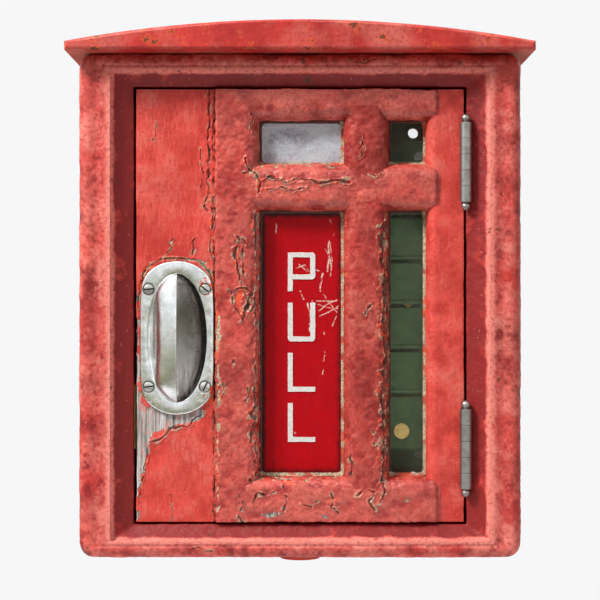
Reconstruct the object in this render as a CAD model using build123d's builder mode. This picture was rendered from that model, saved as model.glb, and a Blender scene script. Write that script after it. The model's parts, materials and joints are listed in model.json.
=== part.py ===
"""Street fire alarm box: a cast-iron case with a hinged timber door, and the clockwork signal inside it.

Frame, in millimetres: +X to the right as a person faces the box, +Z up, and the wall at Y = 0.
The front looks along -Y, so "depth" below is the distance out from the wall, which is -Y.
The origin is the centre of the four wall bolts, on the case's back face.
"""

import math
import os

from build123d import *

os.makedirs("parts", exist_ok=True)

# --- driving dimensions -------------------------------------------------------------------
# Case and front frame, as half widths and half heights about the origin.
CASE_X, CASE_Z = 174.0, 202.0
CASE_WALL = 6.0
CASE_DEPTH = 100.0
LIP_X, LIP_Z = 122.0, 164.0  # the way in through the case's front lip
CASE_CORNER = 12.0
FRAME_X, FRAME_Z = 177.0, 202.0
FRAME_FRONT = 150.0
REVEAL_X, REVEAL_Z = 134.0, 176.0  # the frame's inner walls, round the door
RIDGE_X, RIDGE_Z = 151.5, 188.0  # where the frame's slope meets its crown
WALL_BOLT_X, WALL_BOLT_Z, WALL_BOLT_R = 100.0, 152.0, 4.5
CONDUIT_R, CONDUIT_BOSS_R, CONDUIT_BOSS, CONDUIT_DEPTH = 10.0, 17.0, 15.0, 45.0

# Door: its back, the flat of its stiles, and the crown of its glazing bars.
DOOR_X, DOOR_Z = 132.0, 174.0
DOOR_BACK, STILE_FACE, BAR_FACE = 103.0, 138.0, 141.0
BAR_LEFT = (-69.0, -33.0)
BAR_MID = (35.5, 71.5)
HINGE_STILE = (102.0, DOOR_X)
BOTTOM_RAIL = (-DOOR_Z, -138.0)
CROSS_RAIL = (77.0, 114.0)
TOP_RAIL = (150.0, DOOR_Z)
OVOLO = 11.0  # the rounding of each bar towards its opening
REBATE = 6.5  # how far a pane's edge goes in behind a bar
PANE_FRONT, PANE_BACK = 125.0, 121.0
PLATE_THICK = 2.0
BEAD_BACK = 112.0

# Flush pull, on the lock stile.
PULL_X, PULL_Z = -99.0, -26.0
PULL_W, PULL_H, PULL_STRAIGHT, PULL_THICK = 59.0, 124.0, 88.0, 2.6
CUP_X, CUP_Z, CUP_DEPTH, CUP_SKIN = 24.0, 51.5, 20.5, 1.6
HOOD_RISE, HOOD_SKIN = 13.0, 1.8
PULL_SCREW_X, PULL_SCREW_Z, PULL_SCREW_R = 22.7, 39.2, 4.1

# Hinges.
HINGE_X, HINGE_DEPTH = 133.0, 143.0
HINGE_HEIGHTS = (-115.0, 115.0)
HINGE_LENGTH, KNUCKLES, KNUCKLE_R, HINGE_PIN_R = 64.0, 5, 4.8, 2.5
HINGE_FIT, KNUCKLE_GAP = 0.05, 0.3
LEAF = 2.0
LEAF_BACK = 110.0

# Instrument plate and what stands on it.
PLATE_X, PLATE_Z = 112.0, (-140.0, 142.0)
PLATE_BACK, PLATE_FRONT = 30.0, 33.0
SHAFT_FIT = 0.05

# Clockwork: arbor places, gears and the depths of the frame plates and wheels.
MAIN_AT = (-48.0, 22.0)
MODULE = 1.0
MAIN_TEETH, SECOND_PINION_TEETH, SECOND_TEETH, FLY_PINION_TEETH = 60, 12, 50, 10
TOOTH_ADDENDUM, TOOTH_DEDENDUM, TOOTH_SLACK = 0.85, 1.25, 0.2
SECOND_ANGLE, FLY_ANGLE = 60.0, 102.0
TRAIN_X, TRAIN_Z = (-88.0, 2.0), (-14.0, 102.0)
BACK_PLATE, FRONT_PLATE = (36.0, 39.0), (66.0, 69.0)


def polar(start, radius, degrees):
    """The point at a radius and angle from another, in the plane of the door."""
    angle = math.radians(degrees)
    return start[0] + radius * math.cos(angle), start[1] + radius * math.sin(angle)


SECOND_AT = polar(MAIN_AT, MODULE * (MAIN_TEETH + SECOND_PINION_TEETH) / 2, SECOND_ANGLE)
FLY_AT = polar(SECOND_AT, MODULE * (SECOND_TEETH + FLY_PINION_TEETH) / 2, FLY_ANGLE)


# --- helpers ------------------------------------------------------------------------------
def write(builder, label):
    """Labels a finished sub-part and writes its STEP file."""
    builder.part.label = label
    export_step(builder.part, f"parts/{label}.step")


def block(x, z, depth, mode=Mode.ADD):
    """A box between two values of X, of Z and of depth, in the open BuildPart."""
    middle = ((x[0] + x[1]) / 2, -(depth[0] + depth[1]) / 2, (z[0] + z[1]) / 2)
    with Locations(middle):
        Box(x[1] - x[0], depth[1] - depth[0], z[1] - z[0], mode=mode)


def rod(at, depth, radius, mode=Mode.ADD):
    """Round bars that stand out from the wall at one or more (x, z) points, between two depths."""
    places = at if isinstance(at, list) else [at]
    with Locations(*[Location((x, -depth[0], z), (90, 0, 0)) for x, z in places]):
        Cylinder(radius, depth[1] - depth[0], align=(Align.CENTER, Align.CENTER, Align.MIN), mode=mode)


def cone(at, depth, back_radius, front_radius, mode=Mode.ADD):
    """Cones that stand out from the wall, such as a countersink, between two depths."""
    places = at if isinstance(at, list) else [at]
    with Locations(*[Location((x, -depth[0], z), (90, 0, 0)) for x, z in places]):
        Cone(
            back_radius,
            front_radius,
            depth[1] - depth[0],
            align=(Align.CENTER, Align.CENTER, Align.MIN),
            mode=mode,
        )


def mirrored(x, z):
    """The four points at plus and minus x and z."""
    return [(sx * x, sz * z) for sx in (-1, 1) for sz in (-1, 1)]


def edges_along(part, axis, x=None, z=None, depth=None):
    """The part's straight edges along an axis that lie at the given x, z and depth."""
    found = part.edges().filter_by(axis)
    for wanted, of in ((x, lambda p: p.X), (z, lambda p: p.Z), (depth, lambda p: -p.Y)):
        if wanted is not None:
            found = [e for e in found if abs(of(e.center()) - wanted) < 0.01]
    return found


def gear_outline(at, teeth, phase):
    """An involute gear's outline about a point, with the middle of a tooth at the phase angle in degrees."""
    pressure = math.radians(20)
    pitch = MODULE * teeth / 2
    base = pitch * math.cos(pressure)
    root, tip = pitch - TOOTH_DEDENDUM * MODULE, pitch + TOOTH_ADDENDUM * MODULE
    at_pitch = math.pi / (2 * teeth) - TOOTH_SLACK / (2 * pitch)

    def half_tooth(radius):
        slope = math.acos(min(1.0, base / radius))
        return at_pitch + (math.tan(pressure) - pressure) - (math.tan(slope) - slope)

    start = max(root, base)
    flank = [start + (tip - start) * step / 3 for step in range(4)]
    side = [(radius, half_tooth(radius)) for radius in flank]
    if root < base:
        side.insert(0, (root, half_tooth(start)))
    points = []
    for tooth in range(teeth):
        middle = phase + 360.0 * tooth / teeth
        points += [polar(at, radius, middle - math.degrees(half)) for radius, half in side]
        points += [polar(at, radius, middle + math.degrees(half)) for radius, half in reversed(side)]
    return points


def gear(at, depth, teeth, phase):
    """A spur gear in the open BuildPart, between two depths."""
    with BuildSketch(Plane.XZ.offset(depth[0])) as outline:
        with BuildLine():
            Polyline(*gear_outline(at, teeth, phase), close=True)
        make_face()
    extrude(outline.sketch, amount=depth[1] - depth[0])


def cheese_heads(at, seat, head_height, shank_depth, head_r, shank_r):
    """Slotted cheese-head screws in the open BuildPart. seat is the depth that their heads sit on."""
    rod(at, (seat, seat + head_height), head_r)
    rod(at, (shank_depth, seat), shank_r)
    for x, z in at:
        slot = (seat + head_height * 0.6, seat + head_height)
        block((x - head_r, x + head_r), (z - head_r * 0.15, z + head_r * 0.15), slot, mode=Mode.SUBTRACT)


# --- case ---------------------------------------------------------------------------------
FRAME_SCREWS = [(sx * 155.0, z) for sx in (-1, 1) for z in (-120.0, 0.0, 120.0)]
FRAME_SCREWS += [(sx * 70.0, sz * 187.0) for sx in (-1, 1) for sz in (-1, 1)]
FRAME_SCREW_R = 2.5
HOOD_BOLTS = [(sx * 140.0, depth) for sx in (-1, 1) for depth in (25.0, 80.0)]
HOOD_BOLT_R = 3.0
STANDOFFS = mirrored(104.0, 128.0)


def make_back_box():
    """Cast case: a deep tray, a front lip, wall bolt holes and a threaded conduit boss underneath."""
    with BuildPart() as box:
        block((-CASE_X, CASE_X), (-CASE_Z, CASE_Z), (0, CASE_DEPTH))
        fillet(edges_along(box, Axis.Y), CASE_CORNER)
        block(
            (CASE_WALL - CASE_X, CASE_X - CASE_WALL),
            (CASE_WALL - CASE_Z, CASE_Z - CASE_WALL),
            (CASE_WALL, CASE_DEPTH - CASE_WALL),
            mode=Mode.SUBTRACT,
        )
        block((-LIP_X, LIP_X), (-LIP_Z, LIP_Z), (CASE_DEPTH - 2 * CASE_WALL, CASE_DEPTH), mode=Mode.SUBTRACT)
        rod(mirrored(WALL_BOLT_X, WALL_BOLT_Z), (0, CASE_WALL), WALL_BOLT_R, mode=Mode.SUBTRACT)
        rod(FRAME_SCREWS, (CASE_DEPTH - CASE_WALL, CASE_DEPTH), FRAME_SCREW_R + 0.2, mode=Mode.SUBTRACT)
        with Locations((0, -CONDUIT_DEPTH, -CASE_Z - CONDUIT_BOSS)):
            Cylinder(CONDUIT_BOSS_R, CONDUIT_BOSS + CASE_WALL, align=(Align.CENTER, Align.CENTER, Align.MIN))
            Cylinder(
                CONDUIT_R,
                CONDUIT_BOSS + CASE_WALL,
                align=(Align.CENTER, Align.CENTER, Align.MIN),
                mode=Mode.SUBTRACT,
            )
        with Locations(*[(x, -depth, CASE_Z - CASE_WALL) for x, depth in HOOD_BOLTS]):
            Cylinder(
                HOOD_BOLT_R, CASE_WALL, align=(Align.CENTER, Align.CENTER, Align.MIN), mode=Mode.SUBTRACT
            )
    write(box, "back_box")


def make_front_frame():
    """Cast frame round the door: a rounded crown, a slope down to the door and pockets behind its sides."""
    with BuildPart() as frame:
        block((-FRAME_X, FRAME_X), (-FRAME_Z, FRAME_Z), (CASE_DEPTH, FRAME_FRONT))
        fillet(edges_along(frame, Axis.Y), CASE_CORNER)
        block((-REVEAL_X, REVEAL_X), (-REVEAL_Z, REVEAL_Z), (CASE_DEPTH, FRAME_FRONT), mode=Mode.SUBTRACT)
        with BuildSketch(Plane.XZ.offset(STILE_FACE)):
            Rectangle(2 * REVEAL_X, 2 * REVEAL_Z)
        with BuildSketch(Plane.XZ.offset(FRAME_FRONT)):
            Rectangle(2 * RIDGE_X, 2 * RIDGE_Z)
        loft(mode=Mode.SUBTRACT)
        outer = frame.faces().sort_by(Axis.Y)[0].outer_wire().edges()
        fillet(outer, 8.0)
        for side in (-1, 1):
            inner, far = sorted((side * 141.0, side * 169.0))
            block((inner, far), (-165, 165), (CASE_DEPTH, 138), mode=Mode.SUBTRACT)
        rod(FRAME_SCREWS[:6], (CASE_DEPTH, 139), 6.0)
        rod(FRAME_SCREWS, (CASE_DEPTH, 118), FRAME_SCREW_R, mode=Mode.SUBTRACT)
        for height in HINGE_HEIGHTS:
            span = (height - HINGE_LENGTH / 2 - 0.5, height + HINGE_LENGTH / 2 + 0.5)
            block((REVEAL_X, REVEAL_X + LEAF), span, (LEAF_BACK, FRAME_FRONT), mode=Mode.SUBTRACT)
            with Locations((HINGE_X, -HINGE_DEPTH, span[0] - 5)):
                Cylinder(
                    KNUCKLE_R + 1.0,
                    HINGE_LENGTH + 11,
                    align=(Align.CENTER, Align.CENTER, Align.MIN),
                    mode=Mode.SUBTRACT,
                )
            for x, z, depth in leaf_screw_places(height):
                with Locations(Location((REVEAL_X + LEAF, -depth, z), (0, 90, 0))):
                    Cylinder(1.6, 5, align=(Align.CENTER, Align.CENTER, Align.MIN), mode=Mode.SUBTRACT)
    write(frame, "front_frame")


def make_frame_screws():
    """Screws that hold the front frame, driven from inside the case through its lip."""
    with BuildPart() as group:
        rod(FRAME_SCREWS, (CASE_DEPTH - CASE_WALL - 3.0, CASE_DEPTH - CASE_WALL), 4.5)
        rod(FRAME_SCREWS, (CASE_DEPTH - CASE_WALL, 117), FRAME_SCREW_R)
    write(group, "frame_screws")


def make_hood():
    """Cast weather hood: an arched cap that overhangs the front and sides."""
    half, spring, rise, depth = 186.0, 7.0, 24.0, 168.0
    with BuildPart() as hood:
        with BuildSketch(Plane.XZ):
            with BuildLine():
                Polyline((-half, CASE_Z + spring), (-half, CASE_Z), (half, CASE_Z), (half, CASE_Z + spring))
                ThreePointArc((half, CASE_Z + spring), (0, CASE_Z + rise), (-half, CASE_Z + spring))
            make_face()
        extrude(amount=depth)
        front = hood.faces().sort_by(Axis.Y)[0].edges()
        fillet(front, 2.6)
        with Locations(*[(x, -d, CASE_Z) for x, d in HOOD_BOLTS]):
            Cylinder(
                HOOD_BOLT_R + 0.2, 40, align=(Align.CENTER, Align.CENTER, Align.MIN), mode=Mode.SUBTRACT
            )
            Cylinder(7.0, 40, align=(Align.CENTER, Align.CENTER, Align.MIN), mode=Mode.SUBTRACT)
            Cylinder(7.0, 7.0, align=(Align.CENTER, Align.CENTER, Align.MIN))
            Cylinder(
                HOOD_BOLT_R + 0.2, 7.0, align=(Align.CENTER, Align.CENTER, Align.MIN), mode=Mode.SUBTRACT
            )
    write(hood, "hood")


def make_hood_bolts():
    """Dome-head bolts that hold the hood, let into round pockets in its top."""
    seat = CASE_Z + 7.0
    with BuildPart() as group:
        with Locations(*[(x, -d, seat) for x, d in HOOD_BOLTS]):
            Cylinder(6.0, 4.0, align=(Align.CENTER, Align.CENTER, Align.MIN))
        fillet(group.faces().sort_by(Axis.Z)[-4:].edges(), 2.5)
        with Locations(*[(x, -d, CASE_Z - CASE_WALL) for x, d in HOOD_BOLTS]):
            Cylinder(HOOD_BOLT_R, CASE_WALL + 7.0, align=(Align.CENTER, Align.CENTER, Align.MIN))
    write(group, "hood_bolts")


def make_door_gasket():
    """Felt strip on the case's lip, which the door's back closes against."""
    with BuildPart() as gasket:
        with BuildSketch(Plane.XZ.offset(CASE_DEPTH)):
            RectangleRounded(2 * 131.0, 2 * 172.0, 5)
            RectangleRounded(2 * 125.0, 2 * 167.0, 2, mode=Mode.SUBTRACT)
        extrude(amount=2.4)
    write(gasket, "door_gasket")


def make_catch_spring():
    """Bowed brass strip on the frame's left reveal, which rubs the door's edge and keeps the door shut."""
    wall, bow, thick = -REVEAL_X, 1.6, 0.5
    near, middle, far = -108.0, -119.0, -130.0
    with BuildPart() as spring:
        with BuildSketch(Plane.XY.offset(-116)):
            with BuildLine():
                ThreePointArc((wall + thick, near), (wall + bow, middle), (wall + thick, far))
                Line((wall + thick, far), (wall, far))
                ThreePointArc((wall, far), (wall + bow - thick, middle), (wall, near))
                Line((wall, near), (wall + thick, near))
            make_face()
        extrude(amount=52)
    write(spring, "catch_spring")


# --- hinges -------------------------------------------------------------------------------
def leaf_screw_places(height):
    """The three screws of one hinge leaf, as (x, z, depth); x is the hinge's own."""
    return [(HINGE_X, height + dz, depth) for dz, depth in ((-24, 121.0), (0, 117.0), (24, 121.0))]


def make_hinge_leaves(label, side, own):
    """Two hinge leaves for one side: -1 is the door's, 1 the case's. own says which knuckles it carries."""
    pitch = HINGE_LENGTH / KNUCKLES
    inner = HINGE_X + side * 1.0
    faces = tuple(sorted((inner, inner + side * LEAF)))
    with BuildPart() as leaves:
        for height in HINGE_HEIGHTS:
            low = height - HINGE_LENGTH / 2
            block(faces, (low, low + HINGE_LENGTH), (LEAF_BACK, HINGE_DEPTH - KNUCKLE_R - 0.9))
            for knuckle in own:
                start = low + knuckle * pitch
                span = (start + KNUCKLE_GAP / 2, start + pitch - KNUCKLE_GAP / 2)
                block(faces, span, (HINGE_DEPTH - KNUCKLE_R - 0.9, HINGE_DEPTH))
                with Locations((HINGE_X, -HINGE_DEPTH, span[0])):
                    Cylinder(KNUCKLE_R, span[1] - span[0], align=(Align.CENTER, Align.CENTER, Align.MIN))
            with Locations((HINGE_X, -HINGE_DEPTH, low)):
                Cylinder(
                    HINGE_PIN_R + HINGE_FIT,
                    HINGE_LENGTH,
                    align=(Align.CENTER, Align.CENTER, Align.MIN),
                    mode=Mode.SUBTRACT,
                )
            for _, z, depth in leaf_screw_places(height):
                with Locations(Location((inner, -depth, z), (0, 90 * side, 0))):
                    Cylinder(1.7, LEAF, align=(Align.CENTER, Align.CENTER, Align.MIN), mode=Mode.SUBTRACT)
                    Cone(
                        3.2, 1.7, 1.5, align=(Align.CENTER, Align.CENTER, Align.MIN), mode=Mode.SUBTRACT
                    )
    write(leaves, label)


def make_hinge_screws(label, side):
    """The countersunk screws of one side's hinge leaves."""
    inner = HINGE_X + side * 1.0
    with BuildPart() as group:
        for height in HINGE_HEIGHTS:
            for _, z, depth in leaf_screw_places(height):
                with Locations(Location((inner, -depth, z), (0, 90 * side, 0))):
                    Cone(3.2, 1.7, 1.5, align=(Align.CENTER, Align.CENTER, Align.MIN))
                    Cylinder(1.6, 6.5, align=(Align.CENTER, Align.CENTER, Align.MIN))
                    Box(8, 0.7, 1.0, mode=Mode.SUBTRACT)
    write(group, label)


def make_hinge_pins():
    """Hinge pins with ball ends, one for each hinge."""
    with BuildPart() as pins:
        for height in HINGE_HEIGHTS:
            low = height - HINGE_LENGTH / 2
            with Locations((HINGE_X, -HINGE_DEPTH, low - 0.5)):
                Cylinder(HINGE_PIN_R, HINGE_LENGTH + 1.0, align=(Align.CENTER, Align.CENTER, Align.MIN))
            with Locations(*[(HINGE_X, -HINGE_DEPTH, end) for end in (low - 3.4, low + HINGE_LENGTH + 3.4)]):
                Sphere(3.6)
            with Locations((HINGE_X, -HINGE_DEPTH, low)):
                Cylinder(
                    6, HINGE_LENGTH, align=(Align.CENTER, Align.CENTER, Align.MIN), mode=Mode.SUBTRACT
                )
            with Locations((HINGE_X, -HINGE_DEPTH, low - 0.5)):
                Cylinder(HINGE_PIN_R, HINGE_LENGTH + 1.0, align=(Align.CENTER, Align.CENTER, Align.MIN))
    write(pins, "hinge_pins")


# --- door ---------------------------------------------------------------------------------
OPENINGS = {
    "pull_plate": (BAR_LEFT[1], BAR_MID[0], BOTTOM_RAIL[1], CROSS_RAIL[0]),
    "opal_pane": (BAR_LEFT[1], BAR_MID[0], CROSS_RAIL[1], TOP_RAIL[0]),
    "lower_window": (BAR_MID[1], HINGE_STILE[0], BOTTOM_RAIL[1], CROSS_RAIL[0]),
    "upper_window": (BAR_MID[1], HINGE_STILE[0], CROSS_RAIL[1], TOP_RAIL[0]),
}


PULL_SCREWS = [(PULL_X + x, PULL_Z + z) for x, z in mirrored(PULL_SCREW_X, PULL_SCREW_Z)]


def spheroid(x, depth, z):
    """A ball stretched to three half axes, centred on the pull at the stile's face."""
    return Pos(PULL_X, -STILE_FACE, PULL_Z) * scale(Sphere(1), by=(x, depth, z))


def cut_rebates():
    """Cuts the rebates for all the panes, from the back, in the open BuildPart."""
    for left, right, low, high in OPENINGS.values():
        block(
            (left - REBATE, right + REBATE),
            (low - REBATE, high + REBATE),
            (DOOR_BACK, PANE_FRONT),
            mode=Mode.SUBTRACT,
        )


def make_lock_stile():
    """Timber stile that carries the flush pull: a flat board with a pocket for the pull's cup."""
    room = CUP_SKIN + 0.4
    pocket = spheroid(CUP_X + room, CUP_DEPTH + room, CUP_Z + room)
    with BuildPart() as stile:
        block((-DOOR_X, BAR_LEFT[0]), (-DOOR_Z, DOOR_Z), (DOOR_BACK, STILE_FACE))
        fillet(edges_along(stile, Axis.Z, x=-DOOR_X), 1.2)
        add(pocket, mode=Mode.SUBTRACT)
        rod(PULL_SCREWS, (STILE_FACE - 16, STILE_FACE), 2.1, mode=Mode.SUBTRACT)
    write(stile, "lock_stile")


def make_left_bar():
    """Upright glazing bar between the lock stile and the pull plate, the door's full height."""
    with BuildPart() as bar:
        block(BAR_LEFT, (-DOOR_Z, DOOR_Z), (DOOR_BACK, BAR_FACE))
        fillet(edges_along(bar, Axis.Z, x=BAR_LEFT[1], depth=BAR_FACE), OVOLO)
        fillet(edges_along(bar, Axis.Z, x=BAR_LEFT[0], depth=BAR_FACE), 2.8)
        cut_rebates()
    write(bar, "left_glazing_bar")
    return bar.part


def make_hinge_stile():
    """Timber stile at the hinges, rounded towards the windows and let in for the hinge leaves."""
    with BuildPart() as stile:
        block(HINGE_STILE, (-DOOR_Z, DOOR_Z), (DOOR_BACK, STILE_FACE))
        fillet(edges_along(stile, Axis.Z, x=HINGE_STILE[0], depth=STILE_FACE), OVOLO - 2)
        cut_rebates()
        for height in HINGE_HEIGHTS:
            span = (height - HINGE_LENGTH / 2 - 0.5, height + HINGE_LENGTH / 2 + 0.5)
            block((DOOR_X - LEAF, DOOR_X), span, (LEAF_BACK, STILE_FACE), mode=Mode.SUBTRACT)
            with Locations((HINGE_X, -HINGE_DEPTH, span[0] - 5)):
                Cylinder(
                    KNUCKLE_R + 1.0,
                    HINGE_LENGTH + 11,
                    align=(Align.CENTER, Align.CENTER, Align.MIN),
                    mode=Mode.SUBTRACT,
                )
            for _, z, depth in leaf_screw_places(height):
                with Locations(Location((DOOR_X - LEAF, -depth, z), (0, -90, 0))):
                    Cylinder(1.6, 5, align=(Align.CENTER, Align.CENTER, Align.MIN), mode=Mode.SUBTRACT)
    write(stile, "hinge_stile")
    return stile.part


def make_rail(label, span, rounded, left_bar, hinge_stile):
    """A rail from the left bar to the hinge stile, scribed over their roundings."""
    with BuildPart() as rail:
        block((BAR_LEFT[1] - OVOLO, HINGE_STILE[0] + OVOLO), span, (DOOR_BACK, BAR_FACE))
        for edge_z in rounded:
            fillet(edges_along(rail, Axis.X, z=edge_z, depth=BAR_FACE), OVOLO)
        add(left_bar, mode=Mode.SUBTRACT)
        add(hinge_stile, mode=Mode.SUBTRACT)
        cut_rebates()
    write(rail, label)
    return rail.part


def make_middle_bar(rails):
    """The two lengths of glazing bar between the pull plate's side and the windows, scribed to the rails."""
    with BuildPart() as bar:
        for low, high in ((BOTTOM_RAIL[1], CROSS_RAIL[0]), (CROSS_RAIL[1], TOP_RAIL[0])):
            block(BAR_MID, (low - OVOLO, high + OVOLO), (DOOR_BACK, BAR_FACE))
        for x in BAR_MID:
            fillet(edges_along(bar, Axis.Z, x=x, depth=BAR_FACE), OVOLO)
        for rail in rails:
            add(rail, mode=Mode.SUBTRACT)
        cut_rebates()
    write(bar, "middle_glazing_bar")


def pane(label, opening, back, front, corner=1.0):
    """A flat pane or plate behind one of the door's openings."""
    left, right, low, high = OPENINGS[opening]
    with BuildPart() as sheet:
        with BuildSketch(Plane.XZ.offset(back)):
            with Locations(((left + right) / 2, (low + high) / 2)):
                RectangleRounded(right - left + 2 * REBATE - 1, high - low + 2 * REBATE - 1, corner)
        extrude(amount=front - back)
    write(sheet, label)


def make_window_panes():
    """The two clear panes at the door's hinge side."""
    with BuildPart() as panes:
        for opening in ("lower_window", "upper_window"):
            left, right, low, high = OPENINGS[opening]
            with BuildSketch(Plane.XZ.offset(PANE_BACK)):
                with Locations(((left + right) / 2, (low + high) / 2)):
                    Rectangle(right - left + 2 * REBATE - 1, high - low + 2 * REBATE - 1)
            extrude(amount=PANE_FRONT - PANE_BACK)
    write(panes, "window_panes")


def make_glazing_beads():
    """Timber beads that hold the panes and the pull plate in their rebates, from the back."""
    with BuildPart() as beads:
        for name, (left, right, low, high) in OPENINGS.items():
            front = PANE_FRONT - PLATE_THICK if name == "pull_plate" else PANE_BACK
            outer = REBATE - 0.2
            block((left - outer, right + outer), (low - outer, high + outer), (BEAD_BACK, front))
            block((left, right), (low, high), (BEAD_BACK, front), mode=Mode.SUBTRACT)
    write(beads, "glazing_beads")


def stroke_run(start, end, stroke):
    """One straight stroke of a letter in the open BuildSketch, squared off half a stroke past both ends."""
    (x0, z0), (x1, z1) = start, end
    with Locations(((x0 + x1) / 2, (z0 + z1) / 2)):
        Rectangle(abs(x1 - x0) + stroke, abs(z1 - z0) + stroke)


def letter_runs(letter, middle_x, low, width, height, stroke):
    """The centre lines of a block letter's strokes, and which of its corners are rounded."""
    left, right = middle_x - (width - stroke) / 2, middle_x + (width - stroke) / 2
    foot, top, waist = low + stroke / 2, low + height - stroke / 2, low + height * 0.37
    if letter == "P":
        corners = [(left, foot), (left, top), (right, top), (right, waist), (left, waist)]
        return list(zip(corners, corners[1:])), [corners[2], corners[3]]
    if letter == "U":
        corners = [(left, top), (left, foot), (right, foot), (right, top)]
        return list(zip(corners, corners[1:])), [corners[1], corners[2]]
    corners = [(left, top), (left, foot), (right, foot)]
    return list(zip(corners, corners[1:])), []


LETTERS = "PULL"
LETTER_W, LETTER_H, LETTER_STROKE, LETTER_PITCH, FIRST_LETTER_LOW = 22.3, 31.6, 4.0, 40.8, 11.6
LETTER_THICK, LETTER_ROUND = 0.5, 1.8


def make_pull_letters():
    """The plain block letters on the pull plate, one above the other."""
    middle = (BAR_LEFT[1] + BAR_MID[0]) / 2
    with BuildPart() as letters:
        for place, letter in enumerate(LETTERS):
            low = FIRST_LETTER_LOW - place * LETTER_PITCH
            runs, rounded = letter_runs(letter, middle, low, LETTER_W, LETTER_H, LETTER_STROKE)
            with BuildSketch(Plane.XZ.offset(PANE_FRONT)) as face:
                for start, end in runs:
                    stroke_run(start, end, LETTER_STROKE)
                for x, z in rounded:
                    outer = [
                        v
                        for v in face.vertices()
                        if abs(abs(v.X - x) - LETTER_STROKE / 2) < 0.01
                        and abs(abs(v.Z - z) - LETTER_STROKE / 2) < 0.01
                        and v.X > x - 0.01 * (v.X - middle)
                    ]
                    outer = sorted(outer, key=lambda v: -abs(v.X - middle))[:1]
                    fillet(outer, LETTER_ROUND)
            extrude(amount=LETTER_THICK)
    write(letters, "pull_letters")


# --- flush pull ---------------------------------------------------------------------------
def make_flush_pull():
    """Cast pull: a plate with rounded ends, an oval way in and a hood that swells over its left half."""
    shell = spheroid(CUP_X + 0.8, HOOD_RISE, CUP_Z + 0.8)
    shell -= spheroid(CUP_X - 1.0, HOOD_RISE - HOOD_SKIN, CUP_Z - 1.0)
    keep = Pos(PULL_X - 20, -STILE_FACE - 10, PULL_Z) * Box(40, 20, 140)
    hood = shell & keep
    left, right = PULL_X - PULL_W / 2, PULL_X + PULL_W / 2
    low, high = PULL_Z - PULL_STRAIGHT / 2, PULL_Z + PULL_STRAIGHT / 2
    with BuildPart() as pull:
        with BuildSketch(Plane.XZ.offset(STILE_FACE)):
            with BuildLine():
                Line((left, low), (left, high))
                ThreePointArc((left, high), (PULL_X, PULL_Z + PULL_H / 2), (right, high))
                Line((right, high), (right, low))
                ThreePointArc((right, low), (PULL_X, PULL_Z - PULL_H / 2), (left, low))
            make_face()
        extrude(amount=PULL_THICK)
        fillet(pull.edges().filter_by(Axis.Y), 10.0)
        fillet(pull.faces().sort_by(Axis.Y)[0].edges(), 1.1)
        with BuildSketch(Plane.XZ.offset(STILE_FACE)):
            with Locations((PULL_X, PULL_Z)):
                Ellipse(CUP_X, CUP_Z)
        extrude(amount=PULL_THICK, mode=Mode.SUBTRACT)
        add(hood)
        cone(PULL_SCREWS, (STILE_FACE, STILE_FACE + 2.2), 2.1, PULL_SCREW_R, mode=Mode.SUBTRACT)
        rod(PULL_SCREWS, (STILE_FACE + 2.2, STILE_FACE + PULL_THICK), PULL_SCREW_R, mode=Mode.SUBTRACT)
    write(pull, "flush_pull")


def make_finger_cup():
    """Pressed cup behind the pull's oval, let into the stile."""
    cup = spheroid(CUP_X + CUP_SKIN, CUP_DEPTH + CUP_SKIN, CUP_Z + CUP_SKIN)
    cup -= spheroid(CUP_X, CUP_DEPTH, CUP_Z)
    behind = Pos(PULL_X, -STILE_FACE + 20, PULL_Z) * Box(70, 40, 140)
    with BuildPart() as shell:
        add(cup & behind)
    write(shell, "finger_cup")


def make_pull_screws():
    """Four slotted screws with raised heads that hold the flush pull to the stile."""
    turns = (4.0, -38.0, 8.0, 62.0)
    with BuildPart() as group:
        cone(PULL_SCREWS, (STILE_FACE, STILE_FACE + 2.2), 2.1, PULL_SCREW_R)
        rod(PULL_SCREWS, (STILE_FACE + 2.2, STILE_FACE + 3.0), PULL_SCREW_R)
        rod(PULL_SCREWS, (STILE_FACE - 15, STILE_FACE), 2.0)
        for at, turn in zip(PULL_SCREWS, turns):
            with BuildSketch(Plane.XZ.offset(STILE_FACE + 3.0)):
                with Locations(at):
                    Rectangle(2 * PULL_SCREW_R + 0.4, 1.1, rotation=turn)
            extrude(amount=-1.2, mode=Mode.SUBTRACT)
    write(group, "pull_screws")


# --- instrument plate ---------------------------------------------------------------------
SWITCH_AT, SWITCH_R, PLUNGER_R = (-104.0, -10.0), 6.0, 3.0
LAMP_AT = (1.2, 128.0)
COVER_X, COVER_Z, COVER_FRONT, COVER_SKIN = (58.0, 110.0), (-121.0, 121.0), 96.0, 1.5
COVER_STUDS = [(84.0, -104.0), (84.0, 104.0)]
TERMINALS = [(x, z) for x in (75.0, 93.0) for z in (-50.0, -32.5, -15.0, 2.5, 20.0)]
FUSES_X, FUSE_Z, FUSE_DEPTH, FUSE_R = (74.0, 94.0), (48.0, 88.0), 45.0, 5.0


def make_instrument_plate():
    """Steel plate that carries the signal's works, held off the case's back."""
    with BuildPart() as plate:
        block((-PLATE_X, PLATE_X), PLATE_Z, (PLATE_BACK, PLATE_FRONT))
        fillet(edges_along(plate, Axis.Y), 8)
        rod(STANDOFFS, (PLATE_BACK, PLATE_FRONT), 2.6, mode=Mode.SUBTRACT)
    write(plate, "instrument_plate")


def make_standoffs():
    """Round spacers between the case's back and the instrument plate, drilled for its screws."""
    with BuildPart() as spacers:
        rod(STANDOFFS, (CASE_WALL, PLATE_BACK), 6.0)
        rod(STANDOFFS, (18, PLATE_BACK), 2.6, mode=Mode.SUBTRACT)
    write(spacers, "plate_standoffs")


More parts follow.
